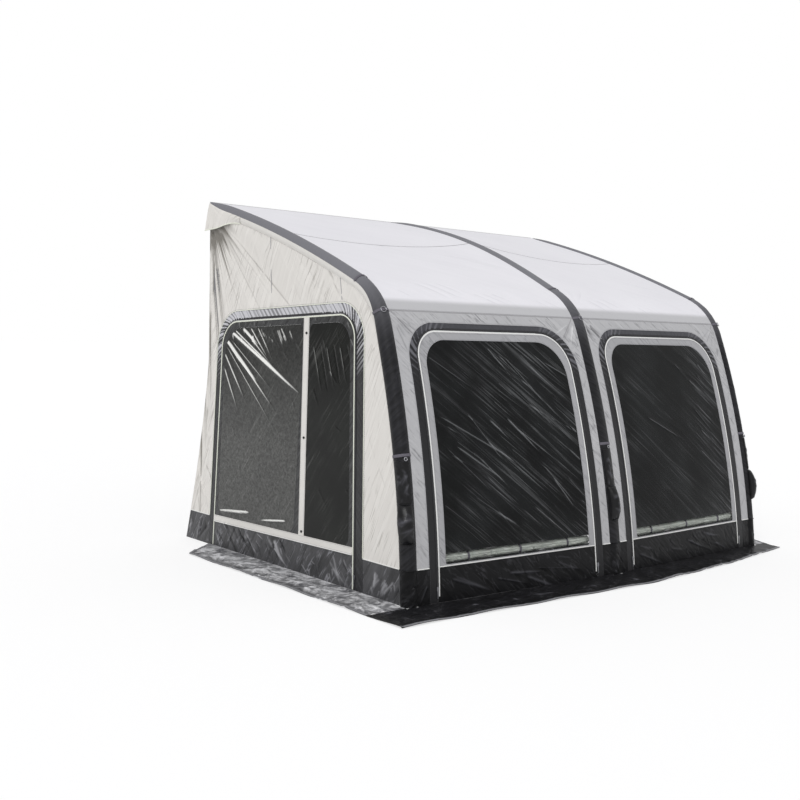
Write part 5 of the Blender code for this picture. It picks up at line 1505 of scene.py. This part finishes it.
def flapPlace(seed, high):
    # Lies flat at the wall, waves and crumples towards its hem
    rng = np.random.default_rng(seed)
    draw = rng.random((lower["crumples"], 5))
    turn, height = (draw[:, 2] - 0.5) * lower["turn"], high * (draw[:, 1] * 1.3 - 0.3)
    rows = np.column_stack([draw[:, 0] * 2 * lower["reach"] - lower["reach"], draw[:, 1] * 0.3, turn,
        0.04 + 0.16 * draw[:, 3], 0.006 + 0.010 * draw[:, 4], height])

    def liftAndTint(x, y):
        ahead = footY - forwardAt(x, wholeRun) - y
        aside = np.maximum(np.abs(x) - halfWidth, ahead)
        out = np.clip(aside / lower["flapWidth"], 0, 1)
        along = np.where(ahead > np.abs(x) - halfWidth, x, y)
        rise = lower["wave"] * out * (1 - np.cos(2 * math.pi * along / lower["waveLength"])) / 2
        crumple = foldRows(np.column_stack([along, aside]), rows)
        # The tint paints highlights on the crumples through the ridge colour, and through the groove colour
        # darkens the outer part of the flap towards its hem
        tint = crumple / lower["tintHigh"] - 1.1 * np.clip((out - 0.62) / 0.25, 0, 1)
        # Low by the wall, at the hem and beside the door's hinge, where a panel comes down or swings past
        inner = np.clip(out / 0.9, 0, 1) * np.clip((1 - out) / 0.12 + 0.15, 0, 1)
        lifted = rise + 1.2 * high * np.tanh(crumple / (1.2 * high)) * inner
        return lifted * np.clip((doorRear - gap - y) / lower["calm"], 0, 1), tint

    def place(x, y, depth):
        return np.stack([x, y, lower["flapCloth"] - depth + liftAndTint(x, y)[0]], -1)
    return place, lambda x, y: liftAndTint(x, y)[1]


def layFlap(name, loop, seed, high, material, replaced):
    spots, faces, _ = cutCloth(loop, [], 0.010, 0.012)
    place, tintAt = flapPlace(seed, high)
    shape = newShape()
    addShell(shape, spots, faces, place, 0.0, lower["flapThick"], tintAt(spots[:, 0], spots[:, 1]))
    length = np.linalg.norm(np.roll(loop, -1, 0) - loop, axis=1).sum()
    dress(makePiece(name, shape, material), "awning", replaced,
        flatSize(spots, shape["area"], length))
    return place


def layHem(name, place, line):
    shape = newShape()
    path, ups = pathOn(place, line, lift=lower["hemLift"])
    addSweep(shape, path, ups, tapeProfile(lower["hemWide"], lower["hemThick"]))
    dress(makePiece(name, shape, hemTape), "awning")
    stitch("awning", place, line, lift=0.0024, slot="flap_pvc")


wide, corner = halfWidth + lower["flapWidth"], halfWidth + sleeveBump + 2 * gap
crown, plain, tucked = footY - sleeveBump - 2 * gap, footY - 2 * gap, footY + lower["flapTuck"]
bandOut, bandIn = bayOut - opening["outerMargin"] - gap, bayIn + opening["middleMargin"] + gap
half = [(corner, footY), (corner, crown), (bayOut - 0.003, crown), (bayOut - 0.003, plain), (bandOut, plain),
    (bandOut, tucked), (bandIn, tucked), (bandIn, plain), (bayIn + 0.003, plain), (bayIn + 0.003, crown)]
# The hem bends in towards the wall at the right front corner
hemLevel = footY - lower["flapWidth"]
hemLeft = [(bayIn, hemLevel), (bayOut, hemLevel), (wide, hemLevel), (wide, footY)]
bends = [(x, footY - out) for x, out in (lower["bendRight"], lower["cornerRight"])]
hemRight = [(bayIn, hemLevel)] + bends + [(lower["startRight"], footY)]
flapLeft, flapRight = (np.array([(x, y - float(forwardAt(np.array(x), wholeRun))) for x, y in each + half])
    for each in (hemLeft, hemRight))
flapLeft = flapLeft * (-1, 1)
flapLoop = np.concatenate([flapRight, flapLeft[::-1]])
place = layFlap("groundFlapFront", flapLoop, 301, 0.009, flapPvc, ["ground_flap_front"])
inSet = lower["hemWide"] / 2 + 0.001
hemLine = np.concatenate([flapLeft[:3][::-1], flapRight[:3]])
layHem("flapHemFront", place, hemLine + [(0, inSet)] * len(hemLine))
for word, side in sides:
    start, end = footY + gap, doorRear - gap
    arcEnd, beside, under = footY + 2 * sleeveRadius, halfWidth + 2 * gap, halfWidth - lower["flapTuck"]
    hem = [(wide, start)] if side < 0 else [(lower["startRight"], start), (wide, start + lower["spreadRight"])]
    loop = np.array([(corner, start)] + hem + [(wide, end - lower["cutBack"]), (beside, end), (under, end),
        (under, doorFront + gap), (beside, doorFront + gap), (beside, arcEnd), (corner, arcEnd)]) * (side, 1)
    place = layFlap("groundFlap_" + word, loop, 311 + side, 0.016, skySheenPvc, ["ground_flap_" + word])
    layHem("flapHem_" + word, place,
        np.array([(x - inSet, y) for x, y in hem] + [(wide - inSet, end - lower["cutBack"] + 0.002),
                (beside + 0.09, end - inSet - 0.075)]) * (side, 1))
print("lower wall and ground flap made")


# Rear edge: keder in the rail, foam pads, rain hoods

rear = {"kederRadius": 0.0035, "kederTape": 0.022, "kederTurns": 16, "padWide": 0.11, "padThick": 0.045,
    "padRound": 0.016, "padLow": 0.30, "padHigh": 2.00, "padIn": 0.0022, "padBack": 0.0012, "padEnd": 0.010,
    "padRings": 90, "dent": 0.0014, "fineDent": 0.0010, "hoodLong": 0.46, "hoodDrop": 0.20, "hoodShare": 0.96,
    "hoodCurve": 1.7, "hoodStand": 0.035, "hoodLift": 0.0024, "hoodOver": 0.012, "hoodTurn": -0.15,
    "hoodWave": 0.006, "hoodBack": 0.012, "hoodCord": (0.0042, 8, 0.0, 0.9), "cloth": 0.003}

tipY, tipZ = onLine(awning["tipRun"])
backward = Vector((0, railY - float(tipY), railHeight - float(tipZ))).normalized()
upward = Vector((0, -backward.z, backward.y))
tapeStart = Vector((0, railY, railHeight)) + backward * gap - upward * (rear["cloth"] / 2)
bead = tapeStart + backward * rear["kederTape"]
openAngle = math.asin(rear["cloth"] / 4 / rear["kederRadius"])
section = [tapeStart - upward * (rear["cloth"] / 4)]
for i in range(rear["kederTurns"] + 1):
    angle = math.pi + openAngle + (2 * math.pi - 2 * openAngle) * i / rear["kederTurns"]
    out = backward * rear["kederRadius"] * math.cos(angle)
    section.append(bead + out + upward * rear["kederRadius"] * math.sin(angle))
section.append(tapeStart + upward * (rear["cloth"] / 4))
kederEnd = halfAt(railHeight) - sleeveRadius * awning["tipShare"]
kederX = np.linspace(-kederEnd, kederEnd, 60)
shape = newShape()
addRings(shape, np.array([[(x, p.y, p.z) for p in section] for x in kederX]),
    np.array([[(x, 0.002 * k) for k in range(len(section))] for x in kederX]))
dress(makePiece("railKeder", shape, kederPvc, sharp=40), "awning", ["rail_keder"])


def hoodPlace(side):
    # From 0 to 1, a runs forward from the rail along the sleeve, and b from the stripe down the hood
    def place(a, b, depth):
        run = awning["tipStart"] + rear["hoodLong"] * a
        size = sleeveRadius * swell(run)
        top = beamPoint(side, run, math.pi * 3 / 4 - stripeEdge(run) / sleeveRadius, size + rear["hoodLift"])
        over = beamPoint(side, run, rear["hoodTurn"], size + rear["hoodOver"])
        under = underSleeve(run)
        z = under[..., 1] - rear["hoodDrop"] * rear["hoodShare"] * (1 - a) ** rear["hoodCurve"]
        stand = rear["hoodStand"] * (1 - a * 0.92) + rear["hoodWave"] * np.cos(11 * a) * (1 - a)
        y = under[..., 0] - rear["hoodBack"] * (1 - a) + 0 * z
        low = np.stack([side * (halfAt(z) + stand), y, z], -1)
        b = np.broadcast_to(b, a.shape)[..., None]
        point = top * (1 - b) ** 2 + over * 2 * b * (1 - b) + low * b ** 2
        point[..., 0] -= side * depth
        return point
    return place


for word, side in sides:
    # The pad is a soft slab with its cover drawn in along both long edges
    backY = railY - door["waistIn"]
    rings, marks = [], []
    foot, top = rear["padLow"], rear["padHigh"]
    levels = np.concatenate([[foot], np.linspace(foot + 0.004, top - 0.004, rear["padRings"]), [top]])
    for k, z in enumerate(levels):
        shrink = rear["padEnd"] if k in (0, len(levels) - 1) else 0.0
        dent = rear["dent"] * math.sin(k * 1.7) + rear["fineDent"] * math.sin(k * 0.61)
        soft, deep, broad = (rear[each] - shrink for each in ("padRound", "padThick", "padWide"))
        loop = roundedLoop([(shrink, shrink, soft), (shrink, broad, soft), (deep, broad, soft),
            (deep, shrink, soft)])
        away = np.clip(np.minimum(loop[:, 0], rear["padThick"] - loop[:, 0]) / 0.02, 0, 1)
        x = side * (halfAt(z) - clothThick - 2 * gap - rear["padIn"] - loop[:, 0] *
            (1 + 0.02 * dent / rear["dent"] * away))
        y = backY - rear["padBack"] - loop[:, 1] * (1 - 0.3 * dent)
        rings.append(np.stack([x, y, np.full(len(loop), z)], -1))
        marks.append(np.stack([np.linspace(0, 0.3, len(loop)), np.full(len(loop), z)], -1))
    shape = newShape()
    addRings(shape, np.array(rings), np.array(marks))
    dress(makePiece("rearPad_" + word, shape, padCloth), "awning", ["rear_pad_" + word])

    place = hoodPlace(side)
    spots, faces, away = cutCloth([(0.0, 0), (0.99, 0), (0.99, 1), (0.0, 1)], [], 0.022, 0.02)
    shape = newShape()
    hoodRows = fanFolds(401 + side, 9, (-0.1, -0.1), (10, 80), (0.1, 0.2), (0.6, 1.1), (0.03, 0.06),
        (0.002, 0.004))
    height = foldRows(spots, hoodRows) * np.clip(away / 0.15, 0, 1)
    addShell(shape, spots, faces, place, -height, clothThick, height / foldUnit,
        spots * (rear["hoodLong"], rear["hoodDrop"]))
    dress(makePiece("rainHood_" + word, shape, creamCloth), "awning", ["rain_hood_" + word],
        (rear["hoodLong"], rear["hoodDrop"], 0.5 * rear["hoodLong"] * rear["hoodDrop"]))
    edge = newShape()
    line = np.linspace(0.0, 0.985, 30)
    points = place(line, np.ones(30), 0.0006)
    addSweep(edge, points, np.broadcast_to((side, 0.0, 0.0), points.shape), roundProfile(*rear["hoodCord"]))
    dress(makePiece("hoodPiping_" + word, edge, limeTrim), "awning")
print("rear edge made")


# Strap pockets and pouches on the beams

pocket = {"top": 0.835, "foot": 0.600, "thick": 0.004, "cover": 0.040, "angle": slope(45), "fade": 0.012,
    "foldMost": 0.006, "back": 0.0002}
pouch = {"top": 0.590, "foot": 0.365, "thick": 0.007, "bulge": 0.040}


def patchPlace(place, spec, bulge):
    # share runs -1 to 1 round the sleeve, row 0 to 1 down the patch
    def put(share, row, depth):
        level = spec["top"] + (spec["foot"] - spec["top"]) * row
        full = np.sin(math.pi * np.clip(row, 0, 1)) ** 0.6 * np.sqrt(np.clip(1 - share * share, 0, 1))
        puff = spec["thick"] + bulge * full - depth
        if place == 0:
            return crownLevel(share * pocket["cover"] / middleHalf, level, gap + puff)
        return beamLevel(place, level, pocket["angle"] * (1 - share), sleeveRadius + gap + puff)
    return put


def makePatch(name, place, spec, bulge, folds, material, rows=46, cols=34):
    put = patchPlace(place, spec, bulge)
    share, row = (each.ravel() for each in np.meshgrid(np.linspace(-1, 1, cols), np.linspace(0, 1, rows)))
    wide = pocket["angle"] * 2 * sleeveRadius if place else 2 * pocket["cover"]
    tall = spec["top"] - spec["foot"]
    flat = np.stack([share * wide / 2, -row * tall], -1)
    away = np.minimum((1 - np.abs(share)) * wide / 2, np.minimum(row, 1 - row) * tall)
    height = folds(flat) * np.clip(away / pocket["fade"], 0, 1)
    index = np.arange(rows * cols).reshape(rows, cols)
    a, b, c, d = index[:-1, :-1].ravel(), index[:-1, 1:].ravel(), index[1:, 1:].ravel(), index[1:, :-1].ravel()
    faces = np.concatenate([np.stack([a, b, c], -1), np.stack([a, c, d], -1)])
    outer = put(share, row, 0.0001 - np.minimum(height, pocket["foldMost"]))
    back = patchPlace(place, dict(spec, thick=pocket["back"]), 0.0)(share, row, 0.0)
    shape = newShape()
    addShell(shape, flat, faces, lambda x, y, depth: outer if depth == 0 else back, 0, 1, height / foldUnit)
    return makePiece(name, shape, material), (wide, tall, float(shape["area"]))


# Pockets and pouches: black PVC-coated polyester, with painted highlights on its creases and fold crests
patchBlack = clothMaterial("pouchPvcCoatedPolyester", {
    "colour": "0E0E10", "shade": "060607", "roughness": 0.32, "gloss": 0.3, "creaseAngle": 60,
    "creaseAlong": 8, "creaseAcross": 40, "creaseTint": 0.3, "creaseColour": "2C2C30", "ridgeHighlight": "4A4A50",
    "creaseBump": 0.6, "creaseHigh": 0.004, "weave": 0.003})
for word, place in beams:
    rows = np.concatenate([
        scatterFolds(421 + place, 10, (-0.035, -0.22, 0.035, -0.02), -70, 0.5, (0.05, 0.12), (0.004, 0.007),
            (0.0015, 0.0035)),
        scatterFolds(431 + place, 6, (-0.035, -0.20, 0.02, -0.06), 20, 0.5, (0.03, 0.06), (0.004, 0.006),
            (0.001, 0.0025))])
    flat, cut = makePatch("strapPocket_" + word, place, pocket, 0.0, lambda flat: foldRows(flat, rows),
        patchBlack)
    dress(flat, "awning", ["strap_pocket_" + word], cut)
    puffed, _ = makePatch("strapPouch_" + word, place, pouch, pouch["bulge"],
        lambda flat: foldRows(flat, rows + np.array((0, 0, 0.4, 0, 0, 0))), patchBlack)
    dress(puffed, "strap_pouch_" + word, ["strap_pouch_" + word])
print("pockets made")


# Webbing round the sleeves: two straps at the knee, one above the pocket

strap = {"wide": 0.018, "thick": 0.0012, "lift": 0.0026, "over": 0.003, "runs": (1.875, 2.18), "low": 0.872,
    "ringOut": 0.008, "knee": (0.004, 0.017, 0.0022), "foot": (0.024, 0.009, 0.0028), "corner": 0.055,
    "middle": 0.012}


def strapAround(shape, place, run):
    lay = sleevePlace(place)
    low, high = (0.0, float(stripeEdge(np.array(run))) + strap["over"]) if place else (-middleHalf, middleHalf)
    path, ups = pathOn(lay, [(low, run), (high, run)], 0.006, strap["lift"])
    addSweep(shape, path, ups, tapeProfile(strap["wide"], strap["thick"]))


def addRing(shape, place, a, run, radius, wire):
    lay, high = sleevePlace(place), strap["ringOut"]
    spots = ((0, -high), (0, -high - 0.01), (0.01, -high))
    centre, out, down = (lay(np.array([a]), np.array([run + on]), np.array([depth]))[0] for on, depth in spots)
    out, down = out - centre, down - centre
    down /= np.linalg.norm(down)
    beside = np.cross(out, down)
    beside /= np.linalg.norm(beside)
    turn = np.arange(28) * 2 * math.pi / 28
    path = centre + (np.cos(turn)[:, None] * down + np.sin(turn)[:, None] * beside) * radius
    ups = path - centre
    addSweep(shape, path, ups, roundProfile(wire, 8), closed=True)


for word, place in beams:
    straps, rings = newShape(), newShape()
    for run in strap["runs"]:
        strapAround(straps, place, run)
    lowRun = float(levelRun(strap["low"], 0.0))
    strapAround(straps, place, lowRun)
    # Each ring hangs below its strap: how far, its radius and its wire
    face = strap["corner"] if place else strap["middle"]
    for run, (below, radius, wire) in ((strap["runs"][1], strap["knee"]), (lowRun, strap["foot"])):
        addRing(rings, place, face, run + below, radius, wire)
    dress(makePiece("beamStraps_" + word, straps, webbing), "awning")
    dress(makePiece("strapRings_" + word, rings, platedSteel), "awning")
print("straps made")


# Rolled blinds under the front windows, tied three times

blind = {"radius": 0.036, "pinch": 0.006, "ends": -0.024, "rise": 0.256, "ties": 3, "cloth": 0.003, "lumps": 7,
    "stations": 220, "round": 36, "under": 0.0016, "endRound": 0.008, "flutes": 9, "fluteHigh": 0.0034,
    "slack": 0.09, "tie": (0.018, 0.0012), "tieIn": 0.0004}


def blindPath(side):
    corners = frontArch(side)["corners"]
    reach = opening["bandSide"] + opening["paneSide"] + blind["ends"]
    return corners[0][0] + reach, corners[3][0] - reach


def makeBlind(word, side):
    low, high = blindPath(side)
    rng = np.random.default_rng(501 + side)
    lumps = rng.random((blind["lumps"], 2))
    stations = blind["stations"]
    share = np.linspace(0, 1, stations)
    turn = np.arange(blind["round"]) * 2 * math.pi / blind["round"]
    tie = np.cos(math.pi * share * 2 * blind["ties"]) * 0.5 + 0.5
    radius = blind["radius"] - blind["pinch"] * tie ** 6 - blind["under"]
    radius[[0, -1]] -= blind["endRound"]
    ripple = sum(np.sin((3 + 5 * f) * turn[None] + 40 * o * share[:, None] * (1 + f)) for f, o in lumps)
    ripple = ripple / blind["lumps"]
    flute = 0.5 + 0.5 * np.cos(blind["flutes"] * turn[None] + 14 * ripple)
    slack = sum(np.sin(share * (9 + 31 * f) + 6 * o) for f, o in lumps)[:, None] / blind["lumps"]
    deep = blind["fluteHigh"]
    size = radius[:, None] * (0.93 + blind["slack"] * slack) + deep * ripple - deep * flute
    u = low + (high - low) * share
    base = frontPlace(u, np.full(stations, blind["rise"]),
        np.full(stations, blind["cloth"] + gap + blind["radius"]))
    ahead = frontPlace(u, np.full(stations, blind["rise"]), np.zeros(stations)) - base
    ahead[:, 0] = 0
    ahead /= np.linalg.norm(ahead, axis=1)[:, None]
    up = np.cross((1.0, 0, 0), ahead)
    outward = ahead[:, None] * np.cos(turn)[None, :, None] + up[:, None] * np.sin(turn)[None, :, None]
    points = base[:, None] + outward * size[..., None]
    marks = np.stack(np.broadcast_arrays(u[:, None], turn[None] * blind["radius"]), -1)
    shape = newShape()
    addRings(shape, points, marks, fold=np.clip(flute, 0, 1))
    dress(makePiece("rolledBlind_" + word, shape, blindCloth), "front_panel_" + word,
        ["rolled_blind_" + word])
    ties = newShape()
    for k in range(blind["ties"]):
        i = int(round((k + 0.5) / blind["ties"] * (stations - 1)))
        outward = ahead[i] * np.cos(turn)[:, None] + up[i] * np.sin(turn)[:, None]
        addSweep(ties, base[i] + outward * (size[i].max() - blind["tieIn"]), outward,
            tapeProfile(*blind["tie"]), closed=True)
    dress(makePiece("blindTies_" + word, ties, webbing), "front_panel_" + word)


for word, side in sides:
    makeBlind(word, side)
print("blinds made")


# Seams: flat felled strips over the joins of the cloths

seamLook = {"wide": 0.008, "high": 0.0010, "sagEnds": 2.965, "sag": 0.10}


def addSeam(shape, lay, line, wide=seamLook["wide"], lift=0.0002):
    path, ups = pathOn(lay, line, 0.02, lift)
    addSweep(shape, path, ups, tapeProfile(wide, seamLook["high"]))


for word, side in sides:
    roofSeams, wallSeams = newShape(), newShape()
    share = np.linspace(0.002, 0.998, 40)
    u = side * (bayIn + (bayOut - bayIn) * share)
    sag = seamLook["sagEnds"] - seamLook["sag"] * np.sin(math.pi * share) ** 0.8
    addSeam(roofSeams, frontPlace, np.stack([u, sag], -1), 0.006)
    addSeam(roofSeams, frontPlace, [(u[0], awning["seamRise"]), (u[-1], awning["seamRise"])])
    for edge, turn in ((bayIn, 1), (bayOut, -1)):
        addSeam(roofSeams, frontPlace,
            [(side * (edge + turn * 0.010), 1.772), (side * (edge + turn * 0.155), 1.625)], 0.006)
    addSeam(wallSeams, sidePlace(side), [(0.530, 2.20), (0.475, 1.735)], 0.006, 0.0012)
    addSeam(wallSeams, sidePlace(side), [(-0.265, 1.94), (-0.300, 1.775)], 0.006, 0.0012)
    dress(makePiece("roofSeams_" + word, roofSeams, seamCloth), "awning")
    dress(makePiece("wallSeams_" + word, wallSeams, seamCloth), "awning")
    stitch("awning", frontPlace, [(u[0], awning["seamRise"] + 0.007), (u[-1], awning["seamRise"] + 0.007)])
print("seams made")


# Zips, snaps and stitches repeat along their paths

zipLook = {"inside": 0.0075, "foot": 0.003, "tape": (0.016, 0.0009), "tapeLift": 0.0010, "toothLift": 0.0024,
    "pitch": 0.0075, "tooth": (0.0045, 0.0058, 0.0016), "sewn": 5, "snap": (0.015, 0.0, 0.004),
    "snapLift": 0.0045, "snapHalf": 0.002, "snapLevels": (1.56, 0.883, 0.275)}

for word, side in sides:
    foot = hinge + zipLook["foot"]
    frontLine = archLine(frontArch(side), frontBand, foot, -zipLook["inside"])
    # The door's rear leg is sewn, so its zip ends where that leg begins
    doorLine = archLine(sideArch, doorBand, foot, -zipLook["inside"])[:-zipLook["sewn"]]
    lines = ((frontPlace, frontLine), (sidePlace(side), doorLine))
    tape = newShape()
    for lay, line in lines:
        path, ups = pathOn(lay, line, lift=zipLook["tapeLift"])
        addSweep(tape, path, ups, tapeProfile(*zipLook["tape"]))
    dress(makePiece("zipTape_" + word, tape, zipTape), "awning")
    teeth = [pathOn(lay, line, lift=zipLook["toothLift"]) for lay, line in lines]
    repeatAlong("zipTeeth_" + word, blockTree, zipAcetal, "awning", teeth,
        (zipLook["pitch"], *zipLook["tooth"]))
    snaps = []
    for z in zipLook["snapLevels"]:
        at, half = postY - door["postLean"] * (door["postTop"] - z), zipLook["snapHalf"]
        point, up = pathOn(sidePlace(side), [(at - half, z), (at + half, z)], 0.01, zipLook["snapLift"])
        snaps.append((point[[0, -1]], up[[0, -1]]))
    repeatAlong("postSnaps_" + word, buttonTree, mouldedNylon, "side_door_" + word, snaps,
        (1.0, *zipLook["snap"]))
for (body, dark, slot), paths in sorted(stitches.items()):
    name = "stitches_%s_%s" % (body, slot.split("_")[0]) + ("Dark" if dark else "")
    repeatAlong(name, blockTree, threadDark if dark else threadGrey, body, paths, stitchSize)
print("zips, snaps and stitches made")


# CAD nodes whose shape stays: valves, caps and sliders

for name, holder in nodes.items():
    if name.startswith(("air_valve_", "valve_cap_")):
        finish = mouldedNylon
    elif name.startswith(("zip_slider_", "door_slider_")):
        finish = castZinc
    else:
        continue
    for slotIn in holder.material_slots:
        slotIn.material = finish


# Floor, light and camera

studio = {"floor": "F7F7F8", "half": 60, "paleShare": 0.55, "plain": 1.14, "world": 0.62, "sun": 1.15,
    "sunAngle": 30, "sunTurn": (slope(40), slope(8), slope(-62))}

floorMesh = bpy.data.meshes.new("floor")
corners = [(x * studio["half"], y * studio["half"], 0) for x, y in ((-1, -1), (1, -1), (1, 1), (-1, 1))]
floorMesh.from_pydata(corners, [], [(0, 1, 2, 3)])
floor = newObject("floor", floorMesh)


def paleRays(tree, *kinds):
    # 1 for the rays that should meet the pale background: the camera's and those of these kinds
    rays = addNode(tree, "ShaderNodeLightPath").outputs
    share = rays["Is Camera Ray"]
    for kind in kinds:
        share = addNode(tree, "ShaderNodeMath", {"operation": "MAXIMUM"}, {0: share, 1: rays[kind]})
    return share


# Floor paint: pale and matt; seen directly it is half lit paint, which keeps the shadow, and half plain white
floorPaint = bpy.data.materials.new("studioFloorPaint")
floorPaint.use_nodes = True
tree = floorPaint.node_tree
tree.nodes.clear()
paint = addNode(tree, "ShaderNodeBsdfDiffuse", {"Color": linear(studio["floor"])})
plain = addNode(tree, "ShaderNodeEmission", {"Color": white, "Strength": studio["plain"]})
share = addNode(tree, "ShaderNodeMath", {"operation": "MULTIPLY", 1: studio["paleShare"]},
    {0: paleRays(tree, "Is Glossy Ray", "Is Transmission Ray")})
both = addNode(tree, "ShaderNodeMixShader", {}, {0: share, 1: paint, 2: plain})
addNode(tree, "ShaderNodeOutputMaterial", {}, {"Surface": both})
floorMesh.materials.append(floorPaint)

world = bpy.data.worlds.new("studioWorld")
world.use_nodes = True
tree = world.node_tree
tree.nodes.clear()
soft = addNode(tree, "ShaderNodeBackground", {"Color": white, "Strength": studio["world"]})
pale = addNode(tree, "ShaderNodeBackground", {"Color": white, "Strength": 1.0})
seen = paleRays(tree, "Is Transmission Ray")
both = addNode(tree, "ShaderNodeMixShader", {}, {0: seen, 1: soft, 2: pale})
addNode(tree, "ShaderNodeOutputWorld", {}, {"Surface": both})
bpy.context.scene.world = world

lamp = bpy.data.lights.new("studioSun", "SUN")
lamp.energy, lamp.angle = studio["sun"], math.radians(studio["sunAngle"])
newObject("studioSun", lamp).rotation_euler = studio["sunTurn"]

view = {"azimuth": slope(-40.548), "elevation": slope(3.764), "roll": slope(1.897), "focal": 1115.373 / 800,
    "stand": (-5.985, -5.8375, 1.621)}
away = Vector((math.sin(view["azimuth"]) * math.cos(view["elevation"]),
    -math.cos(view["azimuth"]) * math.cos(view["elevation"]), math.sin(view["elevation"])))
level = Vector((0, 0, 1)).cross(away).normalized()
upright = away.cross(level)
right = level * math.cos(view["roll"]) + upright * math.sin(view["roll"])
top = upright * math.cos(view["roll"]) - level * math.sin(view["roll"])
lens = bpy.data.cameras.new("photoCamera")
lens.sensor_width, lens.lens = 36.0, 36.0 * view["focal"]
camera = newObject("photoCamera", lens)
camera.matrix_world = Matrix((right, top, away)).transposed().to_4x4()
camera.location = view["stand"]
bpy.context.scene.camera = camera
bpy.context.scene.view_settings.view_transform = "Standard"

print("scene ready")
